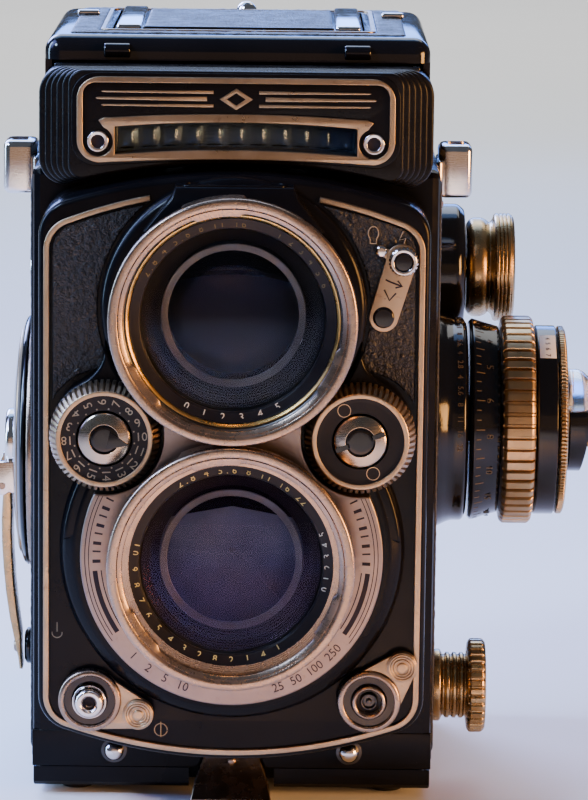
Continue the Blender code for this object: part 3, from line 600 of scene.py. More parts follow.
def labels(name, items, mat, body):
    """Numbers and signs: (text, matrix) pairs, as one raised piece."""
    bm = bmesh.new()
    for s, mx in items:
        part = bmesh.new()
        part.from_mesh(glyph(s))
        bmesh.ops.transform(part, matrix=mx, verts=part.verts)
        me = bpy.data.meshes.new("t")
        part.to_mesh(me)
        part.free()
        bm.from_mesh(me)
        bpy.data.meshes.remove(me)
    return finish(name, bm, mat, body, 30.0, weld=1e-8)


def front_text(s, x, y, z, size, turn=0.0):
    t = math.radians(turn)
    return (s, placed((math.cos(t), 0, math.sin(t)), (-math.sin(t), 0, math.cos(t)), (x, y, z), size))


def ticks(name, c, axis, marks, mat, body, a, height=0.06):
    """Small radial bars on a face: (angle, r0, r1, width)."""
    bm = bmesh.new()
    sgn = -1 if axis == "Y" else 1
    for ang, r0, r1, w in marks:
        t = math.radians(ang)
        quad = []
        for r, s in ((r0, -1), (r0, 1), (r1, 1), (r1, -1)):
            u = r * math.cos(t) - s * w / 2 * math.sin(t)
            v = r * math.sin(t) + s * w / 2 * math.cos(t)
            quad.append((u, v))
        lo, hi = [], []
        for u, v in quad:
            if axis == "Y":
                lo.append(bm.verts.new(Vector((c[0] + u, a, c[1] + v)) * MM))
                hi.append(bm.verts.new(Vector((c[0] + u, a + sgn * height, c[1] + v)) * MM))
            else:
                lo.append(bm.verts.new(Vector((a, c[0] + u, c[1] + v)) * MM))
                hi.append(bm.verts.new(Vector((a + sgn * height, c[0] + u, c[1] + v)) * MM))
        bm.faces.new(lo)
        bm.faces.new(hi)
        for i in range(4):
            k = (i + 1) % 4
            bm.faces.new((lo[i], lo[k], hi[k], hi[i]))
    return finish(name, bm, mat, body, 30.0, weld=1e-8)


def hide_skin(name, outlines, plane, d0, d1, mat, body, step=0.55, depth=0.13, cell=1.55, sign=1.0):
    """A pebbled leather skin: the outline is cut into a fine grid and its outer face is embossed."""
    me = curve_mesh(outlines, 0.02, 0.0, 0)
    bm = bmesh.new()
    bm.from_mesh(me)
    bpy.data.meshes.remove(me)
    bmesh.ops.remove_doubles(bm, verts=bm.verts, dist=1e-7)
    lowz = min(v.co.z for v in bm.verts)
    bmesh.ops.delete(bm, geom=[f for f in bm.faces if any(abs(v.co.z - lowz) > 1e-7 for v in f.verts)], context="FACES")
    bmesh.ops.delete(bm, geom=[v for v in bm.verts if not v.link_faces], context="VERTS")
    for v in bm.verts:
        v.co.z = 0.0
    bmesh.ops.dissolve_limit(bm, angle_limit=0.01, verts=bm.verts, edges=bm.edges)
    us = [v.co.x for v in bm.verts]
    vs = [v.co.y for v in bm.verts]
    for k, (lo, hi) in enumerate(((min(us), max(us)), (min(vs), max(vs)))):
        q = math.ceil(lo / (step * MM)) * step * MM
        while q < hi:
            no = (1, 0, 0) if k == 0 else (0, 1, 0)
            co = (q, 0, 0) if k == 0 else (0, q, 0)
            bmesh.ops.bisect_plane(bm, geom=list(bm.verts) + list(bm.edges) + list(bm.faces), dist=1e-7,
                                   plane_co=co, plane_no=no)
            q += step * MM
    edge = set(v for e in bm.edges if len(e.link_faces) == 1 for v in e.verts)
    top = d1 if sign > 0 else d0
    thick = d1 - d0
    for v in bm.verts:
        p = v.co / MM
        w = noise.noise(Vector((p.x * 0.5, p.y * 0.5, 3.1))) * 0.35
        dists, _ = noise.voronoi(Vector((p.x / cell + w, p.y / cell * 0.86 - w, 0.37)), distance_metric="DISTANCE", exponent=2.0)
        e = min(1.0, (dists[1] - dists[0]) * 1.35)
        h = (e * (2.0 - e) - 1.0) * depth + noise.noise(Vector((p.x * 0.9, p.y * 0.9, 9.0))) * 0.03
        if v in edge:
            h = -thick * 0.6
        v.co = PLANE[plane](Vector((v.co.x, v.co.y, 0)), (top + sign * h) * MM)
    bmesh.ops.recalc_face_normals(bm, faces=bm.faces)
    nrm = {"XZ": Vector((0, 1, 0)), "YZ": Vector((1, 0, 0)), "XY": Vector((0, 0, 1))}[plane] * sign
    if sum((f.normal.dot(nrm) * f.calc_area() for f in bm.faces)) < 0:
        bmesh.ops.reverse_faces(bm, faces=bm.faces)
    rim = [e for e in bm.edges if len(e.link_faces) == 1]
    made = bmesh.ops.extrude_edge_only(bm, edges=rim)["geom"]
    for v in made:
        if isinstance(v, bmesh.types.BMVert):
            v.co -= nrm * (thick * 0.4) * MM
    me = bpy.data.meshes.new(name)
    bm.to_mesh(me)
    bm.free()
    me.shade_smooth()
    me.materials.append(mat)
    ob = bpy.data.objects.new(name, me)
    bpy.context.scene.collection.objects.link(ob)
    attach(ob, body)
    return ob


def paint(mat, *nodes):
    for n in nodes:
        o = N[n]
        if o.material_slots:
            for s in o.material_slots:
                s.material = mat
        else:
            o.data.materials.append(mat)


def teeth(count, depth, share=0.62, edge=0.10):
    """A gate that is 0 on a tooth and 1 in the groove between teeth."""
    def g(t):
        f = (t / (2 * math.pi) * count) % 1.0
        d = abs(f - 0.5)           # 0 in the tooth's middle
        lo, hi = share / 2, share / 2 + edge
        if d <= lo:
            return 0.0
        if d >= hi:
            return depth
        s = (d - lo) / (hi - lo)
        return depth * s * s * (3 - 2 * s)
    return g


# ------------------------------------------------------------------ inside, kept as modelled
paint(MIRROR, "mirror")
paint(MATT, "film_gate", "hood_flap_left", "hood_flap_right", "hood_flap_rear", "hood_base")
paint(CHROME, "film_roller_lower", "film_roller_upper", "back_hinge_pin")
paint(DARKMETAL, "pressure_plate", "takeup_spool")
paint(SCREEN, "ground_glass")
paint(ENAMEL, "body_casting")

# grid lines on the focusing screen
bars = []
for k in (-18, -9, 0, 9, 18):
    bars.append((k - 0.06, k + 0.06, -25.0, 26.0))
for k in (-17, -8, 1, 10, 19):
    bars.append((-30.0, 30.0, k - 0.06, k + 0.06))
bm = bmesh.new()
for x0, x1, y0, y1 in bars:
    q = block_bm((x0, x1), (y0, y1), (124.0, 124.05))
    me = bpy.data.meshes.new("t"); q.to_mesh(me); q.free(); bm.from_mesh(me); bpy.data.meshes.remove(me)
finish("focusing_screen_grid", bm, INK, "body", weld=1e-8)

# ------------------------------------------------------------------ body skins
lug_gap = lambda side: [(-9.9, 119.6), (-9.9, 113.6), (-0.1, 113.6), (-0.1, 119.6)]
side_out = (arc(-25.5, 11.5, 3.0, 180, 270, 5) + arc(27.5, 11.5, 3.0, 270, 360, 5) + arc(27.5, 116.6, 3.0, 0, 90, 5)
            + [(-0.1, 119.6), (-0.1, 113.6), (-9.9, 113.6), (-9.9, 119.6)] + arc(-25.5, 116.6, 3.0, 90, 180, 5))
hide_skin("leather_left_side", [side_out, circle(CY, CZ, 25.9, 72), circle(-15.0, 100.5, 4.8, 32)], "YZ", -38.86, -38.45,
          LEATHER, "body", sign=-1.0, step=0.7)
hide_skin("leather_right_side", [side_out, circle(FY, FZ, 21.7, 72), circle(UY, UZ, 12.7, 48), circle(SY, SZ, 6.8, 32)],
          "YZ", 38.45, 38.86, LEATHER, "body", sign=1.0, step=0.7)

# ------------------------------------------------------------------ nameplate block
EYE_X, EYE_Z = 25.5, 128.3
cell_lo = [(x, 126.9 - 0.0019 * x * x) for x in [-22.4 + 44.8 * i / 24 for i in range(25)]]
cell_hi = [(x, z + 5.1) for x, z in reversed(cell_lo)]
pocket = [(x * 1.01, z - 0.25) for x, z in cell_lo] + [(x * 1.01, z + 0.25) for x, z in cell_hi]
for k in range(6):
    ins = 1.12 * k
    out = bowed(36.7 - ins, 141.6 - 0.04 * k, 0.0, 123.7 + 0.15 * k, -0.0042, max(5.0 - 0.45 * k, 2.4), n=24, nc=10)
    slab("nameplate_block_step_%d" % k, [out, pocket], "XZ", (-37.6 - 0.88 * k), -37.0 if k else -30.35, ENAMEL_WORN, "body", bevel=0.55, res=3,
         rep=("nameplate_block",) if k == 0 else ())
# face panel
face = bowed(30.4, 141.0, 0.0, 124.7, -0.0016, 4.6, n=24, nc=10)
slab("nameplate_face", [face, pocket], "XZ", -42.25, -41.0, ENAMEL, "body", bevel=0.2)

frame_out = bowed(29.4, 140.3, 0.0, 125.1, -0.0012, 4.2, n=20, nc=10)
# black name field: it runs down past the eyelets at both ends
field = [(x, 139.2) for x in [-26.0 + 52.0 * i / 16 for i in range(17)]]
field += arc(26.0, 136.9, 2.3, 90, 0, 6)[1:]
field += [(28.3, 133.0), (28.3, EYE_Z)]
field += arc(EYE_X, EYE_Z, 2.8, 0, -180, 14)[1:]
field += arc(EYE_X - 0.0, EYE_Z, 2.8, 180, 112, 5)[1:]
field += [(25.4, 132.2), (24.2, 132.75)]
field += [(x, 133.6 - 0.0016 * x * x) for x in [23.0 - 46.0 * i / 20 for i in range(21)]]
field += [(-24.2, 132.75), (-25.4, 132.2)]
field += arc(-EYE_X, EYE_Z, 2.8, 68, 0, 5)
field += arc(-EYE_X, EYE_Z, 2.8, 0, -180, 14)[1:]
field += [(-28.3, 133.0)]
field += arc(-26.0, 136.9, 2.3, 180, 90, 6)[:-1]
slab("nameplate_frame", [frame_out, field, cell_lo + cell_hi], "XZ", -42.9, -42.0, TAN, "body", bevel=0.14,
     rep=("nameplate_trim",))
for s in (-1, 1):
    lathe("nameplate_eyelet_%s" % ("left" if s < 0 else "right"),
          [(1.15, -42.4), (1.25, -43.05, 0.1), (1.9, -43.15, 0.2), (2.1, -42.6, 0.1), (2.1, -42.0)], "Y",
          (s * EYE_X, EYE_Z), CHROME, "body", steps=40, slot="chrome")
    # a black disc in the eyelet's bore: painted shade of the hole
    lathe("nameplate_eyelet_hole_%s" % ("left" if s < 0 else "right"), [(0, -42.32), (1.3, -42.36), (1.3, -42.2)], "Y",
          (s * EYE_X, EYE_Z), INK, "body", steps=24)
# generic ornament in the name field: a lozenge between tapering rules
orn = []
for s in (-1, 1):
    for i, (z, x0, x1) in enumerate(((137.55, 4.2, 24.6), (136.3, 5.4, 25.6), (135.05, 4.2, 24.6))):
        w = 0.30 if i != 1 else 0.42
        orn.append([(s * x0, z - w), (s * x1, z - w * 0.5), (s * (x1 + 0.35), z), (s * x1, z + w * 0.5), (s * x0, z + w)])
for i, poly in enumerate(orn):
    slab("name_rule_%d" % i, [poly if poly[0][0] > 0 else poly[::-1]], "XZ", -42.45, -42.2, TAN, "body", bevel=0.06,
         res=1)
slab("name_lozenge", [[(0, 138.3), (3.1, 136.3), (0, 134.3), (-3.1, 136.3)], [(0, 137.45), (1.75, 136.3), (0, 135.15), (-1.75, 136.3)]],
     "XZ", -42.5, -42.2, TAN, "body", bevel=0.08, res=1)

# light cell: eleven bubble lenses behind a clear strip
cells = bmesh.new()
rows = []
nu, nv = 132, 14
for iu in range(nu + 1):
    x = -22.1 + 44.2 * iu / nu
    f = ((x + 22.22) / 4.04) % 1.0
    base = 127.1 - 0.0019 * x * x
    row = []
    for iv in range(nv + 1):
        g = iv / nv
        z = base + 4.7 * g
        dome = max(0.0, 1 - (2 * f - 1) ** 2) ** 0.5 * max(0.0, 1 - (2 * g - 1) ** 4) ** 0.5
        row.append(cells.verts.new(Vector((x, -39.1 - 2.2 * dome, z)) * MM))
    rows.append(row)
for a, b in zip(rows, rows[1:]):
    for i in range(nv):
        cells.faces.new((a[i], b[i], b[i + 1], a[i + 1]))
cell_lens = finish("light_cell_lenses", cells, CELLGLASS, "body", smooth=60.0, rep=("selenium_cell",))
so = cell_lens.modifiers.new("thick", "SOLIDIFY")
so.thickness = 0.5 * MM
so.offset = -1.0
CELLBACK = painted("selenium_plate", (0.012, 0.020, 0.038), (0.030, 0.042, 0.070), 0.30, 0.06)
slab("selenium_plate", [[(x, z + 0.05) for x, z in cell_lo] + [(x, z - 0.05) for x, z in cell_hi]], "XZ", -38.55, -38.2,
     CELLBACK, "body")
# pocket walls round the cells
slab("cell_pocket_wall", [[(x * 1.03, z - 0.75) for x, z in cell_lo] + [(x * 1.03, z + 0.75) for x, z in cell_hi],
                          cell_lo + cell_hi], "XZ", -42.28, -38.0, MATT, "body")

# ------------------------------------------------------------------ lens board
outline = bowed(36.2, 122.85, 0.005, 12.2, 0.0055, 7.0, n=24, nc=14)
inner = bowed(35.0, 121.65, 0.005, 13.4, 0.0055, 5.8, n=24, nc=14)
holes = [circle(0, VIEW_Z, 15.0), circle(0, TAKE_Z, 15.0), circle(RX, RZ, 3.0, 32)]
slab("lens_board_front", [outline] + holes, "XZ", -48.0, -45.4, ENAMEL, "lens_board", bevel=1.1, res=5,
     rep=("lens_board",))
slab("lens_board_skirt", [outline, inner], "XZ", -46.9, -31.0, ENAMEL, "lens_board", bevel=0.15)
# a shallow step inside the silver line
edge_out = bowed(35.2, 120.65, 0.0062, 13.2, 0.0055, 6.2, n=24, nc=14)
edge_in = bowed(34.1, 119.55, 0.0062, 14.3, 0.0055, 5.1, n=24, nc=14)


def open_at_top(pts):
    keep = [p for p in pts if not (abs(p[0]) < 15.0 and p[1] > 80)]
    start = next(i for i, p in enumerate(keep) if p[0] > 0 and p[1] > 80 and
                 all(q[0] >= p[0] for q in keep if q[0] > 0 and q[1] > 105))
    return keep[start:] + keep[:start]


slab("board_silver_line", [open_at_top(edge_out) + open_at_top(edge_in)[::-1]], "XZ", -48.75, -47.8, TAN, "lens_board",
     bevel=0.2, res=3, rep=("board_trim",))

# leather fields either side of the viewing lens
left = [(-33.6, 80.5), (-33.6, 107.6)]
left += arc(-28.5, 108.9, 5.0, 180, 105, 8)
left += [(x, 119.15 - 0.0062 * x * x) for x in (-28.0, -24.0, -20.0, -16.6)]
left += arc(0, VIEW_Z, 25.2, 128, 217, 24)
left += arc(-WHEEL_X, WHEEL_Z, 11.4, 68, 152, 12)
hide_skin("leather_front_left", [left], "XZ", -48.42, -47.9, LEATHER, "lens_board", sign=-1.0, step=0.30, depth=0.24, cell=1.25)
hide_skin("leather_front_right", [[(-x, z) for x, z in reversed(left)]], "XZ", -48.42, -47.9, LEATHER, "lens_board",
          sign=-1.0, step=0.30, depth=0.24, cell=1.25)

# raised surround
lathe("surround_taking", [(15.0, -48.3), (15.0, -51.6), (29.4, -51.6, 0.7), (31.6, -50.1, 1.0), (32.2, -48.0)], "Y", (0, TAKE_Z),
      ENAMEL, "lens_board", steps=144, rep=("escutcheon",), slot="black_enamel")
lathe("surround_viewing", [(15.0, -48.3), (15.0, -51.5), (23.6, -51.5, 0.6), (24.5, -50.6, 0.5), (24.7, -48.0)], "Y",
      (0, VIEW_Z), ENAMEL, "lens_board", steps=144, slot="black_enamel")
for s in (-1, 1):
    w = "left" if s < 0 else "right"
    a = hull(circle(s * WHEEL_X, WHEEL_Z, 10.2, 40) + [(s * p[0], p[1]) for p in arc(0, TAKE_Z, 31.6, 108, 176, 16)])
    slab("surround_lower_web_" + w, [a], "XZ", -51.4, -48.0, ENAMEL, "lens_board", bevel=0.8, res=3)
    fc, fr = (30.77, 91.01), 7.0
    web = [(12.0, 78.0)] + arc(0, VIEW_Z, 24.4, -50, -13.2, 10) + arc(fc[0], fc[1], fr, 192.5, 245.5, 12)
    web += arc(WHEEL_X, WHEEL_Z, 10.3, 62, -10, 12) + [(20.0, 70.0)]
    slab("surround_upper_web_" + w, [[(s * x, z) for x, z in (web if s > 0 else web[::-1])]], "XZ", -51.4, -48.0, ENAMEL,
         "lens_board", bevel=0.7, res=3)

# window housing over the viewing lens
house = [(-16.6, 113.5), (-11.6, 119.6), (-10.8, 121.6), (10.8, 121.6), (11.6, 119.6), (16.6, 113.5)]
house += arc(0, VIEW_Z, 20.9, 47, 133, 24)


def lean(p):
    """The housing's face leans back towards its top."""
    d = max(0.0, p.z / MM - 116.5)
    if p.y / MM < -52.5:
        return Vector((p.x, p.y + d * 0.42 * MM, p.z))
    return p


slab("settings_window_housing", [house], "XZ", -57.6, -48.2, ENAMEL, "lens_board", bevel=0.5, res=3,
     rep=("settings_window",), shape=lean)
slab("settings_window_glass", [rounded(-8.8, 8.8, -54.3, -50.4, 1.0)], "XY", 121.35, 121.72, WINDOW, "lens_board",
     bevel=0.08)
slab("settings_window_frame", [rounded(-9.5, 9.5, -54.9, -49.8, 1.4), rounded(-8.8, 8.8, -54.3, -50.4, 1.0)], "XY", 121.4,
     121.85, ENAMEL, "lens_board", bevel=0.1)

# ------------------------------------------------------------------ lenses


def lug(centres, half, rise):
    def g(t):
        d = min(abs((math.degrees(t) - c + 180) % 360 - 180) for c in centres)
        s = min(1.0, max(0.0, (half - d) / 1.6))
        return rise * s * s * (3 - 2 * s)
    return g


def lens(prefix, cz, front, mat_glass, blades):
    c = (0, cz)
    L = lambda part, prof, mat, **k: lathe(prefix + "_" + part, prof, "Y", c, mat, "lens_board", **k)
    bump_out = lug((100, 214, 332), 16.0, 0.55)
    bump_in = lug((98, 216, 334), 13.0, 0.55)

    def bayonet(r, a, t):
        if r > 21.7:
            return r - 0.55 + bump_out(t) if a > front + 2.2 else r, a
        return r, a
    # outer bayonet ring, rounded, with three lugs behind its lip
    L("bayonet_ring", [(20.75, -59.7), (20.75, front + 0.3, 0.2), (21.3, front, 0.3),
                       (22.7, front, 1.25), (22.7, front + 2.4, 0.3), (22.7, -59.6, 0.4), (21.6, -59.4)],
      STEEL, closed=True, mod=bayonet, steps=240, rep=(prefix + "_bayonet",), slot="chrome")
    # inner bayonet rim with its lug steps

    def rim(r, a, t):
        if r < 20.3 and a < front + 1.6:
            return r - bump_in(t), a
        return r, a
    L("filter_rim", [(20.75, front + 0.25), (20.75, front + 0.1, 0.1), (19.9, front + 0.55, 0.2), (19.9, front + 1.3, 0.2),
                     (20.3, front + 1.7), (20.75, front + 1.7)], STEEL, mod=rim, steps=240, closed=True, slot="chrome")
    # down to the name ring: fine grooves, or a dark step and a gilt band
    prof = [(20.4, front + 1.2)]
    r, y = 20.25, front + 1.6
    if prefix == "taking":
        for k in range(5):
            prof += [(r, y), (r - 0.15, y + 0.03), (r - 0.16, y + 0.30), (r - 0.01, y + 0.36)]
            r -= 0.29
            y += 0.38
        prof += [(r, y), (r - 0.02, y + 0.3), (20.6, y + 0.3), (20.6, front + 1.2)]
        L("grooves", prof, STEEL, steps=160, smooth=20.0, closed=True)
    else:
        prof += [(20.3, y), (19.75, y + 0.35, 0.1), (19.7, y + 1.0), (19.5, y + 1.05), (19.45, y + 1.6), (20.6, y + 1.6), (20.6, front + 1.2)]
        L("step", prof, DARKMETAL, steps=160, smooth=25.0, closed=True)
        y += 0.75
        L("gilt_line", [(19.5, y + 0.2), (19.5, y - 0.1, 0.05), (19.3, y - 0.05, 0.1), (18.9, y + 0.35, 0.1), (18.9, y + 0.9), (19.45, y + 0.9)],
          GOLD, steps=160, closed=True)
        r = 18.8
    yn = y + 0.45
    L("name_ring", [(18.85, yn + 0.6), (18.8, yn - 0.1, 0.05), (18.62, yn, 0.1), (16.95, yn + 0.55, 0.15), (16.8, yn + 1.4), (18.8, yn + 1.4)], DIAL, steps=160, closed=True)
    # sleeve behind the ring and the dark barrel inside
    yb = -55.7 if prefix == "taking" else -51.9
    L("barrel", [(19.2, -59.2), (20.4, -59.2), (20.4, yb), (19.2, yb)], DARKMETAL, steps=120, closed=True,
      rep=(prefix + "_barrel",), slot="black_enamel")
    back = -44.0
    ribs = [(16.85, yn + 1.2), (16.85, -58.4)]
    r = 16.6
    yy = -58.3
    while r > 12.8:
        ribs += [(r, yy), (r - 0.45, yy), (r - 0.45, yy + 0.5)]
        r -= 0.45
        yy += 0.62
    ribs += [(12.5, yy), (12.5, back), (17.6, back), (17.6, yn + 1.2)]
    L("barrel_inside", ribs, MATT, steps=96, smooth=20.0, closed=True)
    # front element, a meniscus
    n = 14
    R = 34.0
    ye = yn + 1.15
    outer = [(16.78 * i / n, ye - (math.sqrt(R * R - (16.78 * i / n) ** 2) - math.sqrt(R * R - 16.78 ** 2))) for i in range(n + 1)]
    R2 = 52.0
    innr = [(16.78 * i / n, ye + 1.3 - (math.sqrt(R2 * R2 - (16.78 * i / n) ** 2) - math.sqrt(R2 * R2 - 16.78 ** 2)))
            for i in range(n, -1, -1)]
    g = L("front_element", outer + innr, mat_glass, steps=96, smooth=50.0, rep=(prefix + "_glass",), slot="glass")
    # second element
    R3 = 26.0
    o2 = [(12.3 * i / 8, -54.6 + (math.sqrt(R3 * R3 - (12.3 * i / 8) ** 2) - R3) * -1.0) for i in range(9)]
    i2 = [(12.3 * i / 8, -50.0 + (math.sqrt(R3 * R3 - (12.3 * i / 8) ** 2) - R3) * 0.4) for i in range(8, -1, -1)]
    L("inner_element", o2 + i2, GLASS_IN, steps=72, smooth=50.0, slot="glass")
    L("retaining_ring", [(12.5, -55.6), (12.5, -55.9, 0.1), (11.2, -55.6, 0.1), (11.2, -55.1)], DARKMETAL, steps=72)
    if blades:
        for k in range(5):
            a = 72.0 * k
            pts = arc(0, 0, 11.8, a - 6, a + 96, 12) + [(0.9 * math.cos(math.radians(a + 140)), 0.9 * math.sin(math.radians(a + 140)))]
            slab("shutter_blade_%d" % k, [[(x, z + cz) for x, z in pts]], "XZ", -48.6 + 0.22 * k, -48.48 + 0.22 * k, BLADE,
                 "lens_board")
    else:
        L("baffle", [(12.4, -47.5), (9.5, -47.3), (9.5, -46.9), (12.4, -46.9)], MATT, closed=True, steps=64)
    return yn


yv = lens("viewing", VIEW_Z, -66.0, GLASS_VIEW, False)
yt = lens("taking", TAKE_Z, -66.0, GLASS_TAKE, True)


def ring_marks(prefix, cz, yn, spans, mat, numbers):
    """Ticks and numbers lying on the sloping name ring."""
    marks = []
    bm = bmesh.new()
    for a0, a1, n, w in spans:
        for i in range(n):
            a = math.radians(a0 + (a1 - a0) * i / max(1, n - 1))
            long = 0.52 if i % 3 else 0.72
            quad = []
            for r, s in ((17.75 - long, -1), (17.75 - long, 1), (17.75 + long, 1), (17.75 + long, -1)):
                u = r * math.cos(a) - s * w / 2 * math.sin(a)
                v = r * math.sin(a) + s * w / 2 * math.cos(a)
                y = yn + 0.55 * (18.62 - r) / 1.67
                quad.append((u, v, y))
            lo = [bm.verts.new(Vector((u, y + 0.02, cz + v)) * MM) for u, v, y in quad]
            hi = [bm.verts.new(Vector((u, y - 0.05, cz + v)) * MM) for u, v, y in quad]
            bm.faces.new(lo); bm.faces.new(hi)
            for k in range(4):
                q = (k + 1) % 4
                bm.faces.new((lo[k], lo[q], hi[q], hi[k]))
    finish(prefix + "_ring_ticks", bm, mat, "lens_board", weld=1e-8)
    items = []
    for s, ang, size, inward in numbers:
        a = math.radians(ang)
        r = 17.78
        turn = ang - 90 if not inward else ang + 90
        items.append(front_text(s, r * math.cos(a), yn + 0.55 * (18.62 - r) / 1.67 - 0.03, cz + r * math.sin(a), size, turn))
    labels(prefix + "_ring_numbers", items, mat, "lens_board")


RINGINK = painted("ring_fill_yellow", (0.34, 0.30, 0.10), (0.52, 0.46, 0.20), 0.45, 0.08)
RINGDIM = painted("ring_fill_dim", (0.09, 0.075, 0.03), (0.17, 0.14, 0.07), 0.45, 0.08)
RINGPALE = painted("ring_fill_pale", (0.34, 0.33, 0.27), (0.48, 0.47, 0.40), 0.45, 0.08)


def ring_numbers(name, cz, yn, a0, a1, text, size, outward, mat):
    """Figures spaced evenly along the sloping ring, tops outward or inward."""
    items = []
    for i, s in enumerate(text):
        if s == " ":
            continue
        ang = a0 + (a1 - a0) * i / (len(text) - 1)
        a = math.radians(ang)
        r = 17.78
        items.append(front_text(s, r * math.cos(a), yn + 0.55 * (18.62 - r) / 1.67 - 0.03, cz + r * math.sin(a), size,
                                ang - 90 if outward else ang + 90))
    labels(name, items, mat, "lens_board")


ring_numbers("viewing_ring_scale_left", VIEW_Z, yv, 152, 84, "2.8 4 5.6 8 11 16", 1.75, True, RINGDIM)
ring_numbers("viewing_ring_scale_right", VIEW_Z, yv, 62, 22, "1 2 3 4 5 6", 1.6, True, RINGDIM)
ring_numbers("viewing_ring_numbers", VIEW_Z, yv, 242, 298, "0 1 2 3 4 5", 1.9, False, RINGPALE)
ring_numbers("taking_ring_scale_top", TAKE_Z, yt, 122, 42, "2.8 4 5.6 8 11 16 22", 1.75, True, RINGINK)
ring_numbers("taking_ring_scale_left", TAKE_Z, yt, 168, 300, "10 9 8 7 6 5 4 3 2.8 2 1.4 1", 1.75, False, RINGINK)
ring_numbers("taking_ring_numbers", TAKE_Z, yt, 346, 380, "0 1 2 3 4 5", 1.7, False, RINGPALE)

# ------------------------------------------------------------------ shutter housing ring
bites = [(-WHEEL_X, WHEEL_Z, 10.8), (WHEEL_X, WHEEL_Z, 10.8), (0, VIEW_Z, 20.8)]
slab("shutter_face_ring", [polar(0, TAKE_Z, 28.0, bites), circle(0, TAKE_Z, 20.95, 120)], "XZ", -55.4, -51.7, SILVER,
     "lens_board", bevel=0.3, res=3, rep=("shutter_housing",))
eng = []
for s in (-1, 1):
    def sec(r0, r1, a0, a1, s=s):
        if s < 0:
            return sector(0, TAKE_Z, r0, r1, a0, a1)
        return sector(0, TAKE_Z, r0, r1, 180 - a1, 180 - a0)
    eng += [sec(27.05, 27.2, 154.8, 216), sec(26.35, 26.5, 154.2, 214), sec(24.9, 25.8, 186, 214), sec(24.1, 24.3, 186, 213)]
    # short bars where the makers' words stand
    for i in range(1, 9):
        a = 150 + i * 3.9
        eng.append(sec(24.2, 25.7, a, a + 0.7 if i % 2 else a + 1.4))
for i, poly in enumerate(eng):
    slab("shutter_ring_line_%02d" % i, [poly], "XZ", -55.46, -55.3, INK, "lens_board")
marks = []
for i in range(43):
    a = 222 + i * 2.286
    marks.append((a, 23.3, 24.5 if i % 3 == 0 else 24.0, 0.34 if i % 3 == 0 else 0.24))
ticks("shutter_ring_scale", (0, TAKE_Z), "Y", marks, INK, "lens_board", -55.38)
slab("shutter_ring_arc", [sector(0, TAKE_Z, 23.1, 23.25, 222, 318, 60)], "XZ", -55.46, -55.3, INK, "lens_board")
labels("shutter_ring_numbers", [front_text(t, 26.0 * math.cos(math.radians(q)), -55.4, TAKE_Z + 26.0 * math.sin(math.radians(q)), 2.3, q + 90)
                                for t, q in (("1", 226), ("2", 234), ("5", 242), ("10", 250), ("25", 290), ("50", 298), ("100", 307), ("250", 317))],
       INK, "lens_board")

# ------------------------------------------------------------------ setting wheels
for s, who in ((-1, "aperture"), (1, "shutter")):
    c = (s * WHEEL_X, WHEEL_Z)
    g = teeth(56, 0.60, 0.50, 0.12)

    def knurled(r, a, t, g=g):
        if r > 8.95:
            return r - g(t) * min(1.0, (r - 8.95) / 0.5), a
        return r, a
    lathe(who + "_wheel_rim", [(8.05, -57.35), (8.05, -57.9, 0.1), (8.9, -57.95, 0.25), (10.05, -56.0, 0.3), (10.3, -54.2, 0.3),
                               (10.3, -52.6, 0.3), (9.8, -52.25)], "Y", c, TAN, who + "_wheel", steps=672, mod=knurled, closed=True,
          smooth=30.0, rep=(who + "_wheel",), slot="chrome")
    lathe(who + "_wheel_back", [(9.4, -52.3), (5.2, -52.25), (5.2, -57.3)], "Y", c, DARKMETAL, who + "_wheel", steps=72, closed=True)
    lathe(who + "_dial_face", [(8.1, -57.5), (7.9, -57.42, 0.1), (5.25, -57.42), (5.15, -57.2)], "Y", c, DIAL, who + "_wheel",
          steps=96, closed=True, slot="black_enamel")
c = (-WHEEL_X, WHEEL_Z)
items = []
for i, num in enumerate(range(3, 19)):
    a = 3.0 + 22.5 * (10 - num)
    r = 6.85
    items.append(front_text(str(num), c[0] + r * math.cos(math.radians(a)), -57.44, c[1] + r * math.sin(math.radians(a)), 2.25, a))
labels("exposure_numbers", items, PAINT, "aperture_wheel")
ticks("exposure_dots", c, "Y", [(14.25 + 22.5 * i, 5.45, 5.72, 0.27) for i in range(16)], PAINT, "aperture_wheel", -57.40)
# hubs: faceted bright ring, black centre
for s, who in ((-1, "aperture"), (1, "shutter")):
    c = (s * WHEEL_X, WHEEL_Z)
    lathe(who + "_hub_ring", [(4.85, -51.9), (4.85, -57.55, 0.15), (4.5, -57.8, 0.1), (2.75, -58.5, 0.12), (2.6, -57.95)], "Y", c,
          HUBMETAL, "lens_board", steps=64, closed=True, rep=(who + "_hub",), slot="chrome")
    lathe(who + "_hub_centre", [(0, -58.12), (2.0, -58.1, 0.3), (2.7, -57.9), (2.7, -57.5), (0, -57.5)], "Y", c, GLOSS, "lens_board", steps=48)
c = (-WHEEL_X, WHEEL_Z)
a = math.radians(-12)
tip = (c[0] + 4.7 * math.cos(a), c[1] + 4.7 * math.sin(a))
slab("aperture_pointer", [[tip, (c[0] + 1.9 * math.cos(a + 1.15), c[1] + 1.9 * math.sin(a + 1.15)),
                           (c[0] + 1.9 * math.cos(a - 1.15), c[1] + 1.9 * math.sin(a - 1.15))]], "XZ", -58.62, -57.5, GLOSS,
     "lens_board", bevel=0.05)
c = (WHEEL_X, WHEEL_Z)
# two raised black bars on the hub ring: painted shade standing for its two slots
ticks("shutter_hub_slot_shades", c, "Y", [(20, 2.4, 4.75, 0.85), (200, 2.4, 4.75, 0.85)], GLOSS, "lens_board", -58.0, 0.55)
for k, ang in enumerate((118, 292)):
    q = (c[0] + 6.45 * math.cos(math.radians(ang)), c[1] + 6.45 * math.sin(math.radians(ang)))
    lathe("shutter_dial_circle_%d" % k, [(1.12, -57.43), (1.12, -57.5), (1.25, -57.5), (1.25, -57.43)], "Y", q, TAN,
          "shutter_wheel", closed=True, steps=40)

# ------------------------------------------------------------------ release button and flash socket with their levers


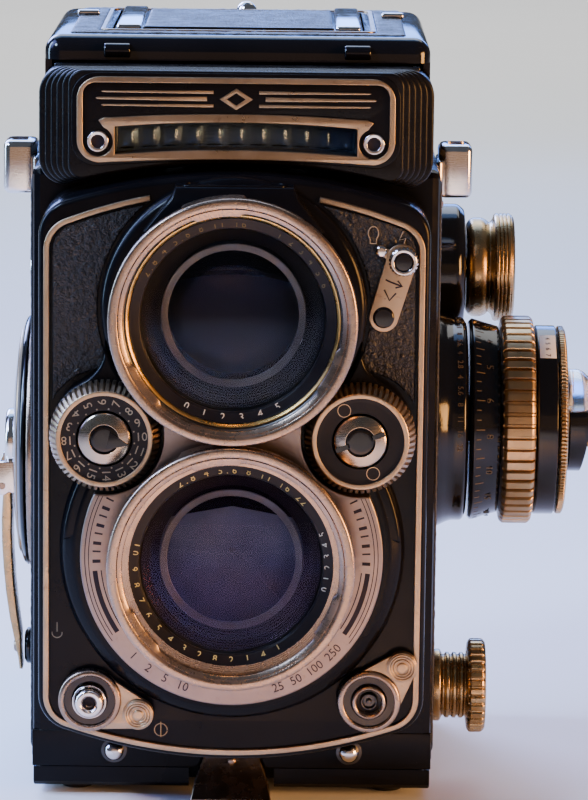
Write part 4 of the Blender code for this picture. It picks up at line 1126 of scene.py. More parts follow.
def lever(prefix, x, z, gx, gz, inner_mat):
    a = math.degrees(math.atan2(gz, gx))
    arm = arc(x, z, 5.85, a + 58, a + 302, 40) + arc(x + gx, z + gz, 2.85, a - 70, a + 70, 16)
    slab(prefix + "_plate", [arm, circle(x, z, 4.0, 48)], "XZ", -50.1, -49.15, TAN, prefix, bevel=0.15, rep=(prefix,))
    lathe(prefix + "_collar", [(4.75, -49.2), (4.75, -50.9, 0.15), (5.1, -51.1, 0.2), (5.75, -50.9, 0.25), (5.95, -50.3, 0.2),
                               (5.95, -49.2)], "Y", (x, z), STEEL, prefix, closed=True, steps=80, slot="chrome")
    lathe(prefix + "_inner_ring", [(3.35, -49.3), (3.35, -50.3, 0.1), (4.8, -50.3), (4.8, -49.3)], "Y", (x, z), GLOSS, prefix,
          closed=True, steps=64)
    prof = [(0, -51.25), (0.9, -51.25, 0.15), (1.0, -50.95, 0.1)]
    for r in (1.35, 1.85, 2.3):
        prof += [(r - 0.15, -50.95, 0.05), (r, -51.12, 0.1), (r + 0.25, -51.12, 0.1), (r + 0.3, -50.9, 0.05)]
    prof += [(2.85, -50.85, 0.2), (2.9, -50.4, 0.1), (2.9, -49.2)]
    lathe(prefix + "_grip", prof, "Y", (x + gx, z + gz), TAN, prefix, steps=56, slot="chrome")


lever("release_lock_lever", RX, RZ, 9.1, -2.6, GLOSS)
lever("sync_lock_lever", QX, QZ, 6.1, 6.7, GLOSS)
lathe("release_button_cap", [(0, -51.3), (1.0, -51.5, 0.2), (1.25, -52.9, 0.2), (1.7, -53.35, 0.2), (2.3, -53.3, 0.3),
                             (2.6, -52.9, 0.2), (2.6, -48.4)], "Y", (RX, RZ), CHROME, "release_button", steps=56,
      rep=("release_button",), slot="chrome")
# a black disc at the bottom of the button's socket: painted shade of the deep hole
lathe("release_button_hole_shade", [(0, -51.35), (0.95, -51.55)], "Y", (RX, RZ), INK, "release_button", steps=24)
lathe("release_guide", [(2.75, -48.5), (2.75, -51.6, 0.15), (3.15, -51.8, 0.15), (3.25, -51.4, 0.1), (3.25, -48.5)], "Y",
      (RX, RZ), CHROME, "lens_board", closed=True, steps=56)
lathe("sync_socket_shell", [(2.35, -49.2), (2.35, -51.3, 0.15), (2.75, -51.7, 0.2), (3.15, -51.4, 0.2), (3.15, -48.2), (0, -48.2),
                            (0, -49.0), (2.35, -49.2)], "Y", (QX, QZ), STEEL, "lens_board", steps=56, rep=("sync_socket",),
      slot="chrome")
lathe("sync_socket_core", [(0, -50.6), (0.45, -50.5, 0.1), (0.5, -49.8, 0.1), (1.1, -49.8, 0.1), (1.25, -50.7, 0.1), (1.5, -50.7, 0.1),
                           (1.7, -49.4, 0.1), (2.35, -49.3)], "Y", (QX, QZ), DARKMETAL, "lens_board", steps=40)

# selector lever
kx, kz = LX + 3.5, LZ + 10.6
strip = arc(LX, LZ, 2.7, 163, 343, 24) + arc(kx - 0.3, kz + 0.2, 2.85, -17, 163, 24)
slab("selector_plate", [strip], "XZ", -49.5, -48.55, TAN, "sync_selector_lever", bevel=0.15, rep=("sync_selector_lever",))
lathe("selector_pivot_cap", [(0, -49.95), (1.7, -49.95, 0.25), (2.0, -49.6, 0.1), (2.0, -49.3)], "Y", (LX, LZ), GLOSS,
      "sync_selector_lever", steps=48)
g = teeth(22, 0.22, 0.5, 0.2)
lathe("selector_knob", [(1.75, -51.1), (1.8, -51.5, 0.1), (2.3, -51.6, 0.2), (2.75, -51.1, 0.2), (2.75, -49.4)], "Y", (kx, kz),
      CHROME, "sync_selector_lever", steps=176, mod=lambda r, a, t: (r - g(t) if r > 2.5 else r, a), slot="chrome")
lathe("selector_knob_centre", [(0, -51.35), (1.5, -51.3, 0.2), (1.8, -51.1), (1.8, -50.8)], "Y", (kx, kz), GLOSS,
      "sync_selector_lever", steps=40)
lathe("selector_detent", [(0, -49.95), (0.9, -49.85, 0.3), (1.2, -49.35, 0.2), (1.2, -48.7), (0, -48.7)], "Y", (27.0, 109.3), CHROME,
      "sync_selector_lever", steps=32, slot="chrome")
slab("selector_tongue", [hull(circle(27.0, 109.3, 0.75, 20) + circle(kx - 1.6, kz + 0.6, 1.1, 20))], "XZ", -49.35, -48.75, TAN,
     "sync_selector_lever", bevel=0.08)
dx, dz = (kx - LX) / 11.16, (kz - LZ) / 11.16     # along the lever
P = lambda u, v: (LX + dx * u + dz * v, -49.56, LZ + dz * u - dx * v)


def stroke(name, pts, w, mat, body):
    return wire(name, pts, w, mat, body, res=2)


Q = lambda u, v: (LX + dx * 5.6 + u, -49.56, LZ + dz * 5.6 + v)
stroke("selector_arrow_shaft", [Q(-1.5, 1.75), Q(-0.5, 1.3), Q(1.55, 0.55)], 0.16, INK, "sync_selector_lever")
stroke("selector_arrow_head", [Q(0.75, 1.6), Q(1.6, 0.52), Q(0.35, 0.25)], 0.16, INK, "sync_selector_lever")
stroke("selector_chevron", [Q(-1.7, -0.1), Q(-0.75, -2.1), Q(0.45, -0.75)], 0.16, INK, "sync_selector_lever")
# bulb and flash signs on the board
bx, bz = 25.5, 112.5
stroke("bulb_sign_globe", [(bx + 0.95 * math.cos(math.radians(a)), -48.4, bz + 1.25 * math.sin(math.radians(a)))
                           for a in range(-50, 231, 14)], 0.11, PAINT, "lens_board")
stroke("bulb_sign_base", [(bx - 0.6, -48.4, bz - 1.0), (bx - 0.55, -48.4, bz - 1.9), (bx + 0.55, -48.4, bz - 1.9),
                          (bx + 0.6, -48.4, bz - 1.0)], 0.11, PAINT, "lens_board")
stroke("flash_sign", [(31.0, -48.4, 112.9), (30.3, -48.4, 111.3), (31.5, -48.4, 111.6), (30.9, -48.4, 109.9)], 0.12, PAINT, "lens_board")
# setting signs at the lower left and below the taking lens
stroke("lock_sign_arc", [(-32.6 + 0.95 * math.cos(math.radians(a)), -48.08, 36.4 + 0.95 * math.sin(math.radians(a))) for a in range(170, 371, 14)],
       0.1, PAINT, "lens_board")
stroke("lock_sign_stem", [(-32.6, -48.08, 38.4), (-32.6, -48.08, 36.6)], 0.1, PAINT, "lens_board")
stroke("lever_sign_ring", [(-13.1 + 1.2 * math.cos(math.radians(a)), -48.08, 17.9 + 1.2 * math.sin(math.radians(a))) for a in range(0, 360, 14)],
       0.1, PAINT, "lens_board").name
stroke("lever_sign_bar", [(-13.1, -48.08, 19.4), (-13.1, -48.08, 16.5)], 0.1, PAINT, "lens_board")

# ------------------------------------------------------------------ front studs, latch plate
for s in (-1, 1):
    lathe("front_screw_%s" % ("left" if s < 0 else "right"), [(0, -32.3), (0.9, -32.15, 0.4), (1.7, -31.5, 0.5), (1.95, -30.6, 0.2), (1.95, -29.9)],
          "Y", (s * 22.6, 9.1), CHROME, "body", steps=48, slot="chrome")
    lathe("front_screw_seat_%s" % ("left" if s < 0 else "right"), [(1.9, -29.9), (1.9, -30.35, 0.1), (2.5, -30.2, 0.1), (2.6, -29.9)], "Y",
          (s * 22.6, 9.1), DARKMETAL, "body", steps=40)
lathe("latch_rivet", [(0, -32.0), (0.55, -31.9, 0.2), (0.85, -31.4, 0.1), (0.85, -30.4)], "Y", (0, 7.5), STEEL, "back_latch", steps=28)
slab("front_apron", [[(-38.35, 5.85), (-6.4, 5.85), (-5.35, 8.95), (5.35, 8.95), (6.4, 5.85), (38.35, 5.85), (38.35, 13.0), (-38.35, 13.0)]], "XZ", -30.2, -29.4, ENAMEL, "body", bevel=0.2)

# ------------------------------------------------------------------ strap lugs
for s, who in ((-1, "left"), (1, "right")):
    X = lambda a, b: tuple(sorted((s * a, s * b)))
    base = temp(block_bm(X(38.7, 45.2), (-9.5, -0.5), (114.0, 124.3), 1.3, 4))
    carve("strap_lug_loop_" + who, base, [temp(block_bm(X(40.6, 43.6), (-8.0, -2.0), (118.4, 130.0), 0.4, 3)),
                                          temp(block_bm(X(42.0, 50.0), (-6.2, -3.8), (117.0, 130.0), 0.3, 3))],
          CHROME, "body", rep=("strap_lug_" + who,))
    block("strap_lug_plate_" + who, X(38.4, 39.3), (-11.2, 1.2), (111.6, 121.4), CHROME, "body", bevel=0.4, seg=3)
    for k, (yy, zz) in enumerate(((-9.3, 112.9), (-0.7, 112.9))):
        prof = [(0, s * 39.75), (0.55, s * 39.7), (0.85, s * 39.4), (0.85, s * 39.2)]
        lathe("strap_lug_screw_%s_%d" % (who, k), prof, "X", (yy, zz), STEEL, "body", steps=24)

# ------------------------------------------------------------------ focus knob
cf = (FY, FZ)
lathe("focus_bezel_ring", [(5.0, 38.9), (21.4, 38.9, 0.2), (20.3, 41.0, 0.8), (19.9, 42.2, 0.5), (19.9, 44.2, 0.5), (18.8, 44.9, 0.3),
                           (5.0, 44.9)], "X", cf, GLOSS, "body", closed=True, steps=144, rep=("focus_bezel",), slot="black_enamel")
lathe("focus_scale_cone", [(3.0, 30.4), (9.0, 30.4), (9.0, 32.6), (4.4, 32.6), (4.4, 45.3), (19.1, 45.3, 0.2), (19.75, 45.9, 0.3),
                           (18.2, 51.2, 0.3), (3.0, 51.2)], "X", cf, GLOSS, "focus_knob", closed=True, steps=144,
      rep=("distance_scale_ring",), slot="black_enamel")
g50 = teeth(56, 0.85, 0.66, 0.07)


def grip(r, a, t):
    if r > 19.0:
        return r - g50(t) * min(1.0, (r - 19.0) / 0.8), a
    return r, a


lathe("focus_grip_teeth", [(3.0, 51.5), (18.9, 51.5, 0.2), (19.8, 51.7, 0.2), (20.35, 52.3, 0.3), (20.35, 57.1, 0.3), (19.8, 57.7, 0.2),
                           (18.9, 57.9, 0.2), (3.0, 57.9)], "X", cf, GRIPMETAL, "focus_knob", closed=True, steps=1120, mod=grip,
      smooth=28.0, rep=("focus_grip_ring",), slot="chrome")
lathe("meter_scale_band", [(3.0, 58.2), (18.3, 58.2, 0.2), (18.5, 58.5, 0.1), (18.5, 62.0, 0.1), (18.3, 62.2, 0.2), (3.0, 62.2)], "X", cf,
      GLOSS, "focus_knob", closed=True, steps=144, rep=("meter_band",), slot="black_enamel")
# white window in the band, with its scale
lathe("meter_scale_patch", [(18.48, 58.7), (18.56, 58.8), (18.56, 61.8), (18.48, 61.9)], "X", cf, PALE, "focus_knob", steps=20, t0=108, t1=130)
bm = bmesh.new()


def side_text(s, ang, a, r, size, along=True):
    t = math.radians(ang)
    nrm = Vector((0, math.cos(t), math.sin(t)))
    tan = Vector((0, -math.sin(t), math.cos(t)))
    # reads along the rim, top of the figures towards +X or the other way
    right = tan if along else -tan
    up = nrm.cross(right)
    return (s, placed(right, up, (a, FY + r * math.cos(t), FZ + r * math.sin(t)), size))


bm.free()
labels("meter_scale_numbers", [side_text(str(n), 112 + 5.2 * i, 60.3, 18.56, 1.35) for i, n in enumerate((4, 5, 6, 7))], INK, "focus_knob")
nums = ["3", "4", "5", "6", "8", "10", "15", "30", "50"]
items = []
for i, s in enumerate(nums):
    items.append(side_text(s, 96 + 21.0 * i, 48.9, 18.95, 2.0))
labels("distance_numbers", items, DIMPAINT, "focus_knob")
items = []
for i, s in enumerate(("22", "16", "11", "8", "5.6", "4", "2.8", "4", "5.6", "8", "11", "16", "22")):
    items.append(side_text(s, 90 + 8.0 * i, 43.2, 19.93, 1.5))
labels("depth_numbers", items, DIMPAINT, "body")
bm = bmesh.new()
for i in range(33):
    t = math.radians(92 + 5.6 * i)
    L = 0.9 if i % 3 else 1.6
    for (r, a0, a1) in ((19.6, 46.4, 46.4 + L),):
        n = Vector((0, math.cos(t), math.sin(t))); tn = Vector((0, -math.sin(t), math.cos(t)))
        vs = []
        for a, sgn in ((a0, -1), (a1, -1), (a1, 1), (a0, 1)):
            rr = 19.75 - (a - 45.9) * 1.55 / 5.3
            base = Vector((a, FY, FZ)) + tn * sgn * 0.10
            vs.append((base, n, rr))
        lo = [bm.verts.new((b + n_ * (rr - 0.03)) * MM) for b, n_, rr in vs]
        hi = [bm.verts.new((b + n_ * (rr + 0.04)) * MM) for b, n_, rr in vs]
        bm.faces.new(lo); bm.faces.new(hi)
        for k in range(4):
            q = (k + 1) % 4
            bm.faces.new((lo[k], lo[q], hi[q], hi[k]))
finish("distance_ticks", bm, DIMPAINT, "focus_knob", weld=1e-8)

g150 = teeth(150, 0.30, 0.45, 0.2)
lathe("film_speed_rim", [(3.0, 62.5), (17.9, 62.5, 0.1), (18.4, 62.8, 0.15), (18.4, 63.7, 0.15), (17.7, 64.1, 0.2), (16.4, 64.1), (3.0, 64.1)], "X",
      cf, NICKEL, "film_speed_ring", closed=True, steps=900, mod=lambda r, a, t: (r - g150(t) if r > 18.2 else r, a), smooth=30.0,
      rep=("film_speed_ring",), slot="chrome")
lathe("film_speed_face", [(10.4, 64.12), (10.4, 64.25, 0.05), (15.9, 64.25, 0.1), (15.9, 64.12)], "X", cf, DIAL, "film_speed_ring",
      closed=True, steps=96)
items = []
for i, s in enumerate(("12", "25", "50", "100", "200", "400", "800")):
    a = 200 - 40 * i
    t = math.radians(a)
    n = Vector((0, math.cos(t), math.sin(t)))
    up = n
    right = up.cross(Vector((1, 0, 0)))
    items.append((s, placed(right, up, (64.25, FY + 13.2 * math.cos(t), FZ + 13.2 * math.sin(t)), 2.3)))
labels("film_speed_numbers", items, PAINT, "film_speed_ring")

# meter housing: a drum cut back towards its foot, with a clear top
mh = lathe("mh", [(0, 64.4), (9.6, 64.4, 0.2), (10.0, 64.9, 0.2), (10.0, 68.6, 0.9), (8.6, 70.2, 0.9), (0, 70.2)], "X", cf, GLOSS, None, steps=96)
wm = Matrix.Translation(Vector((70.6, FY, FZ + 10)) * MM) @ Matrix.Rotation(math.radians(9.5), 4, "Y")
def wedge():
    q = block_bm((0, 12), (-14, 14), (-34, 30))
    bmesh.ops.transform(q, matrix=wm, verts=q.verts)
    return temp(q)
carve("meter_case", mh, [wedge(), temp(block_bm((63.0, 76), (FY - 13, FY + 13), (FZ + 3.2, FZ + 15)))], GLOSS, "body",
      rep=("meter_housing",))
lathe("meter_shaft", [(0, 64.5), (2.6, 64.5), (2.6, 29.2), (0, 29.2)], "X", cf, STEEL, "body", steps=32)
mw = lathe("mw", [(0, 64.6), (9.9, 64.6, 0.2), (10.0, 65.0, 0.2), (10.0, 67.4, 1.6), (7.6, 70.2, 1.6), (0, 70.2)], "X", cf, WINDOW, None, steps=96)
carve("meter_dome", mw, [wedge(), temp(block_bm((60, 76), (FY - 14, FY + 14), (FZ - 14, FZ + 3.5)))], WINDOW, "body",
      rep=("meter_window",))
block("meter_needle_plate", (64.9, 65.4), (FY - 7.4, FY + 7.4), (FZ + 3.9, FZ + 8.2), PALE, "body", bevel=0.15)
ticks("meter_plate_scale", (FY, FZ), "X", [(50 + 8 * i, 6.4, 7.9, 0.22) for i in range(11)], INK, "body", 65.4)
wire("meter_needle", [(65.9, FY - 0.6, FZ + 4.0), (65.9, FY + 2.4, FZ + 8.6)], 0.09, GOLD, "body")
tm = Matrix.Translation(Vector((69.75, FY, FZ - 1.6)) * MM) @ Matrix.Rotation(math.radians(9.5), 4, "Y")
block("meter_tab", (-0.7, 1.5), (-1.6, 1.6), (-3.6, 1.6), BRASS, "meter_range_tab", bevel=0.45, seg=3, rep=("meter_range_tab",), turn=tm)

# ------------------------------------------------------------------ spool knobs
cu_ = (UY, UZ)
lathe("takeup_collar", [(2.8, 38.6), (12.6, 38.6), (12.6, 43.6, 0.7), (11.4, 45.0, 0.5), (2.8, 45.0)], "X", cu_, GLOSS, "body", closed=True,
      steps=96, rep=("takeup_knob_collar",), slot="black_enamel")
g36 = teeth(40, 0.22, 0.55, 0.22)
prof = [(0, 29.6), (2.2, 29.6), (2.2, 45.4), (8.6, 45.4, 0.2), (9.5, 46.0, 0.5), (9.9, 46.8, 0.4), (9.9, 48.4, 0.4), (9.5, 49.3, 0.4), (8.9, 50.0, 0.3),
        (9.6, 50.6, 0.3), (10.5, 50.9, 0.3)]
for k in range(4):
    prof += [(10.8, 51.25 + 0.75 * k, 0.12), (10.8, 51.75 + 0.75 * k, 0.12), (10.55, 51.9 + 0.75 * k, 0.06)]
prof += [(10.5, 54.4, 0.3), (9.8, 54.9, 0.4), (8.9, 54.9, 0.2), (8.6, 54.6, 0.2), (0, 54.6)]
lathe("takeup_knob", prof, "X", cu_, NICKEL, "takeup_spool_knob", steps=120, rep=("takeup_spool_knob",), slot="chrome")
lathe("takeup_knob_cap", [(0, 54.78), (6.6, 54.75, 0.3), (7.6, 54.62)], "X", cu_, DIAL, "takeup_spool_knob", steps=72)
cs = (SY, SZ)
g30 = teeth(34, 0.42, 0.52, 0.2)
prof = [(0, 29.6), (2.2, 29.6), (2.2, 38.9), (7.0, 38.9, 0.2), (7.1, 40.4, 0.3), (6.0, 41.0, 0.2)]
for k in range(3):
    prof += [(6.0, 41.3 + 1.35 * k, 0.15), (6.45, 41.6 + 1.35 * k, 0.2), (6.45, 42.2 + 1.35 * k, 0.2), (6.0, 42.5 + 1.35 * k, 0.15)]
prof += [(6.1, 45.5, 0.2), (8.5, 45.8, 0.2), (9.2, 46.3, 0.25), (9.2, 48.6, 0.25), (8.5, 49.3, 0.3), (7.6, 49.3, 0.2), (7.3, 49.05, 0.2), (0, 49.05)]
lathe("supply_knob", prof, "X", cs, NICKEL, "supply_spool_knob", steps=408, mod=lambda r, a, t: (r - g30(t) if r > 8.9 else r, a), smooth=30.0,
      rep=("supply_spool_knob",), slot="chrome")
lathe("supply_knob_cap", [(0, 49.2), (5.6, 49.18, 0.3), (6.4, 49.07)], "X", cs, DIAL, "supply_spool_knob", steps=64)
lathe("supply_collar", [(2.6, 38.4), (9.4, 38.4), (9.4, 38.8, 0.1), (8.6, 39.0, 0.1), (7.3, 39.0)], "X", cs, GLOSS, "body", steps=72)

# ------------------------------------------------------------------ crank, on the left
cc = (CY, CZ)
lathe("crank_ring", [(6.0, -38.7), (6.0, -39.7), (23.8, -39.7, 0.2), (24.2, -39.95, 0.2), (25.3, -39.95, 0.3), (25.6, -39.5, 0.2), (25.6, -38.7)], "X", cc,
      STEEL, "body", closed=True, steps=144, rep=("crank_escutcheon",), slot="dark_metal")
lathe("crank_dome", [(3.0, -31.0), (3.0, -40.1), (23.9, -40.15, 0.2), (24.7, -40.5, 0.3), (24.2, -41.2, 0.4), (20.5, -42.45, 1.5), (13.0, -43.3, 1.5),
                     (6.4, -43.45, 0.2), (6.4, -43.2), (0, -43.2)], "X", cc, GLOSS, "crank", steps=144, rep=("crank_disc",), slot="black_enamel")
lathe("crank_dome_line", [(21.6, -41.9), (21.75, -42.22, 0.05), (22.15, -42.02, 0.05), (22.2, -41.8)], "X", cc, TAN, "crank", steps=120)
lathe("crank_hub", [(6.2, -43.0), (6.2, -44.7, 0.3), (5.6, -45.3, 0.4), (2.4, -45.3, 0.2), (2.2, -45.0, 0.1), (0, -45.0)], "X", cc, CHROME, "crank", steps=72,
      slot="chrome")
# a black bar across the hub: painted shade of its slot
ticks("crank_hub_slot_shade", cc, "X", [(35, -1.7, 1.7, 0.5)], INK, "crank", -45.06, -0.02)
for s, who in ((-1, "front"), (1, "rear")):
    yy = tuple(sorted((s * 4.4, s * 5.9)))
    out = [(-42.8, 60.6), (-46.2, 60.6)] + arc(-45.8, 55.8, 1.9, 160, 320, 12) + [(-42.8, 54.0)]
    slab("crank_ear_" + who, [out], "XZ", yy[0], yy[1], CHROME, "crank", bevel=0.2)
wire("crank_arm_pin", [(-45.8, -6.1, 55.8), (-45.8, 6.1, 55.8)], 0.7, STEEL, "crank", res=4)
# folding arm: a bowed strip
outer = [(-45.7, 54.4), (-46.0, 49.0), (-45.95, 44.0), (-45.65, 39.0), (-45.2, 34.0), (-44.5, 29.0), (-43.6, 24.5), (-42.8, 20.5), (-42.55, 18.2)]
innr = [(-41.95, 18.2), (-42.15, 21.0), (-42.2, 25.0), (-42.9, 30.0), (-43.5, 35.5), (-43.85, 41.0), (-44.0, 46.0), (-43.9, 51.0), (-44.1, 54.8)]
arm = outer + innr + arc(-45.8, 55.8, 1.75, 0, 220, 14)


def waist(p):
    """The arm narrows towards its end."""
    z = p.z / MM
    k = 1.0 if z > 50 else 0.72 + 0.28 * max(0.0, (z - 18) / 32) ** 0.7
    return Vector((p.x, p.y * k, p.z))


slab("crank_arm_strip", [arm], "XZ", -4.0, 4.0, NICKEL, "crank_arm", bevel=0.35, res=3, rep=("crank_arm",), shape=waist)
lathe("crank_handle_knob", [(0, -39.85), (2.8, -39.85, 0.4), (3.6, -40.3, 0.3), (3.6, -41.1, 0.2), (2.8, -41.6, 0.1), (0, -41.6)], "X", (0, 22.4), GLOSS,
      "crank_handle", steps=56, rep=("crank_handle",), slot="black_enamel")
lathe("crank_handle_rivet", [(0, -43.9), (1.0, -43.8, 0.2), (1.4, -43.3, 0.2), (1.4, -42.4)], "X", (0, 22.4), STEEL, "crank_arm", steps=32)
# frame counter window
lathe("counter_rim", [(3.3, -38.8), (3.3, -39.3, 0.1), (3.7, -39.5, 0.1), (4.2, -39.45, 0.15), (4.5, -39.1, 0.1), (4.5, -38.8)], "X", (-15.0, 100.5), CHROME,
      "body", closed=True, steps=56, rep=("frame_counter",), slot="chrome")
lathe("counter_dial", [(0, -38.95), (3.4, -38.95), (3.4, -38.8)], "X", (-15.0, 100.5), DIAL, "body", steps=40)
labels("counter_number", [("1", placed((0, -1, 0), (0, 0, 1), (-38.97, -15.0, 100.5), 3.2))], PAINT, "body")

# ------------------------------------------------------------------ hood
lid = temp(block_bm((-36.2, 36.2), (-29.5, 31.6), (120.0, 146.6), 3.2, 7))
carve("hood_lid_shell", lid, [temp(block_bm((-35.0, 35.0), (-27.9, 30.4), (110, 145.2), 2.0, 4)),
                              temp(block_bm((-50, 50), (-40, 40), (100, 128.8))),
                              temp(block_bm((-50, 50), (-40, -26.5), (100, 142.0))),
                              temp(block_bm((-24.0, 24.0), (-19.0, 24.0), (140, 150)))], GLOSS, "hood_lid", rep=("hood_lid",))
hide_skin("leather_hood_top", [rounded(-31.6, 31.6, -25.2, 28.6, 1.6), rounded(-26.2, 26.2, -21.2, 25.8, 1.6)], "XY", 146.5, 146.95, LEATHER,
          "hood_lid", sign=1.0, step=0.6, depth=0.12)
slab("finder_door_frame", [rounded(-26.0, 26.0, -21.0, 25.6, 1.8), rounded(-25.2, 25.2, -20.2, 24.8, 1.3)], "XY", 146.4, 147.1, TAN, "hood_lid",
     bevel=0.12)
slab("finder_door_margin", [rounded(-25.3, 25.3, -20.3, 24.9, 1.3), rounded(-23.9, 23.9, -18.9, 23.9, 0.6)], "XY", 146.3, 146.8, GLOSS, "hood_lid",
     bevel=0.1)
slab("finder_door_panel", [rounded(-23.6, 23.6, -18.6, 23.6, 0.8)], "XY", 145.3, 146.9, GLOSS, "hood_lid", bevel=0.35, rep=("sports_finder_door",))
hide_skin("leather_finder_door", [rounded(-17.9, 17.9, -17.6, 22.8, 0.8)], "XY", 146.85, 147.3, LEATHER, "hood_lid", sign=1.0, step=0.6, depth=0.12)
for s, who in ((-1, "left"), (1, "right")):
    X = tuple(sorted((s * 18.4, s * 23.2)))
    block("finder_rail_" + who, X, (-18.0, 23.0), (146.5, 147.75), CHROME, "hood_lid", bevel=0.6, seg=4)
    X = tuple(sorted((s * 27.6, s * 32.0)))
    block("lid_tab_" + who, X, (10.4, 13.4), (146.7, 147.9), CHROME, "hood_lid", bevel=0.45, seg=3)
    X = tuple(sorted((s * 20.0, s * 25.0)))
    bm = bmesh.new()
    bmesh.ops.create_cone(bm, cap_ends=True, segments=32, radius1=1.35 * MM, radius2=1.35 * MM, depth=4.9 * MM,
                          matrix=Matrix.Translation(Vector((s * 22.5, -29.7, 143.9)) * MM) @ Matrix.Rotation(math.pi / 2, 4, "Y"))
    ob = finish("lid_knuckle_" + who, bm, GLOSS, "hood_lid")
    bv = ob.modifiers.new("round", "BEVEL")
    bv.width, bv.segments, bv.limit_method = 0.3 * MM, 3, "ANGLE"
block("finder_front_lip", (-18.2, 18.2), (-18.7, -17.5), (146.5, 147.5), GLOSS, "hood_lid", bevel=0.4, seg=4)
lathe("lid_catch", [(0, 148.4), (0.8, 148.3, 0.3), (1.7, 147.6, 0.5), (2.0, 146.9, 0.2), (2.0, 146.3)], "Z", (1.0, 28.9), CHROME, "hood_lid", steps=40)
lathe("magnifier_rim", [(9.0, 142.6), (11.5, 142.6, 0.3), (11.5, 144.9, 0.3), (9.0, 144.9, 0.2)], "Z", (0, 2.0), GLOSS, "hood_lid", closed=True, steps=80,
      rep=("magnifier",), slot="dark_metal")
lathe("magnifier_glass", [(0, 143.1), (4.5, 143.2), (9.05, 143.7), (9.05, 144.0), (4.5, 144.5), (0, 144.65)], "Z", (0, 2.0), WINDOW, "hood_lid", steps=64,
      slot="glass")
# a step along the front of the hood's frame
block("hood_front_step", (-34.2, 34.2), (-31.2, -29.2), (140.6, 141.5), GLOSS, "body", bevel=0.3)

# ------------------------------------------------------------------ back
ell = ([(32.6, 118.0), (32.6, 5.6), (-29.6, 5.6), (-29.6, 2.6), (-28.8, 1.8)] + arc(30.2, 7.6, 5.8, -90, 0, 14) + [(36.0, 115.0), (34.6, 118.0)])
bs = slab("bs", [ell], "YZ", -38.2, 38.2, ENAMEL, None, bevel=0.35, res=3)
cut = [temp(block_bm((-8.2, 8.2), (-40, -22.4), (-5, 10), 0.0))]
carve("back_shell", bs, cut, ENAMEL, "back", rep=("back_cover",))
hide_skin("leather_back", [rounded(-36.0, 36.0, 9.5, 112.5, 2.0), rounded(-22.0, 22.0, 50.0, 92.0, 1.5)], "XZ", 35.9, 36.3, LEATHER, "back", sign=1.0, step=0.75)
slab("exposure_plate", [rounded(-21.7, 21.7, 50.3, 91.7, 1.3)], "XZ", 35.8, 36.35, TAN, "back", bevel=0.12)
slab("exposure_plate_field", [rounded(-20.4, 20.4, 51.6, 90.4, 0.9)], "XZ", 36.0, 36.42, DIAL, "back", bevel=0.05)
k = 0
for i in range(7):
    z = 55.0 + 5.2 * i
    slab("exposure_plate_rule_%d" % i, [rounded(-18.6, 18.6, z - 0.14, z + 0.14, 0.1, 2)], "XZ", 36.3, 36.48, TAN, "back")
for i in range(4):
    x = -13.0 + 8.7 * i
    slab("exposure_plate_column_%d" % i, [rounded(x - 0.12, x + 0.12, 53.6, 88.4, 0.1, 2)], "XZ", 36.3, 36.47, TAN, "back")
hide_skin("leather_base", [rounded(-35.5, 35.5, -17.0, 21.0, 2.0), circle(0, 7.0, 11.4, 48)], "XY", 1.5, 1.9, LEATHER, "back", sign=-1.0, step=0.8)
for i, (x, y) in enumerate(((-30, -22), (30, -22), (-30, 26), (30, 26))):
    lathe("foot_%d" % i, [(0, 0.0), (2.9, 0.0, 0.4), (3.5, 0.6, 0.3), (3.6, 2.4)], "Z", (x, y), RUBBER, "back", steps=40, slot="black_enamel")
prof = [(3.1, 1.6)]
for k in range(4):
    prof += [(3.1, 1.4 - 0.32 * k), (2.85, 1.24 - 0.32 * k)]
prof += [(3.1, 0.1), (3.4, 0.0, 0.05), (9.8, 0.0, 0.3), (10.5, 0.5, 0.3), (10.5, 1.7)]
lathe("tripod_socket", prof, "Z", (0, 7.0), CHROME, "back", steps=96, rep=("tripod_bush",), slot="chrome")
# hinge knuckles on the back's top edge
for i in range(5):
    x0 = -33.0 + 13.6 * i
    bm = bmesh.new()
    bmesh.ops.create_cone(bm, cap_ends=True, segments=28, radius1=1.75 * MM, radius2=1.75 * MM, depth=(11.4 if i % 2 == 0 else 13.0) * MM,
                          matrix=Matrix.Translation(Vector((x0 + 5.8, 33.8, 120.2)) * MM) @ Matrix.Rotation(math.pi / 2, 4, "Y"))
    ob = finish("back_knuckle_%d" % i, bm, ENAMEL, "body" if i % 2 == 0 else "back")

latch = ([(-24.6, 5.4), (-29.6, 5.4), (-30.2, 8.2), (-30.45, 8.6), (-30.85, 8.5), (-31.5, 6.4), (-33.3, 3.9), (-36.3, 1.1), (-36.35, 0.5),
          (-35.7, 0.45), (-33.0, 2.7), (-31.4, 3.6), (-26.0, 3.6)] + arc(-24.6, 3.6, 1.5, -60, 60, 8))


def flare(p):
    """The plate widens towards its lower lip."""
    z = p.z / MM
    k = 0.66 + 0.34 * min(1.0, max(0.0, (8.6 - z) / 6.6))
    if p.y / MM > -29.0:
        k = 0.78
    return Vector((p.x * k, p.y, p.z))


slab("latch_plate", [latch], "YZ", -7.7, 7.7, STEEL, "back_latch", bevel=0.22, res=3, rep=("back_latch",), shape=flare)

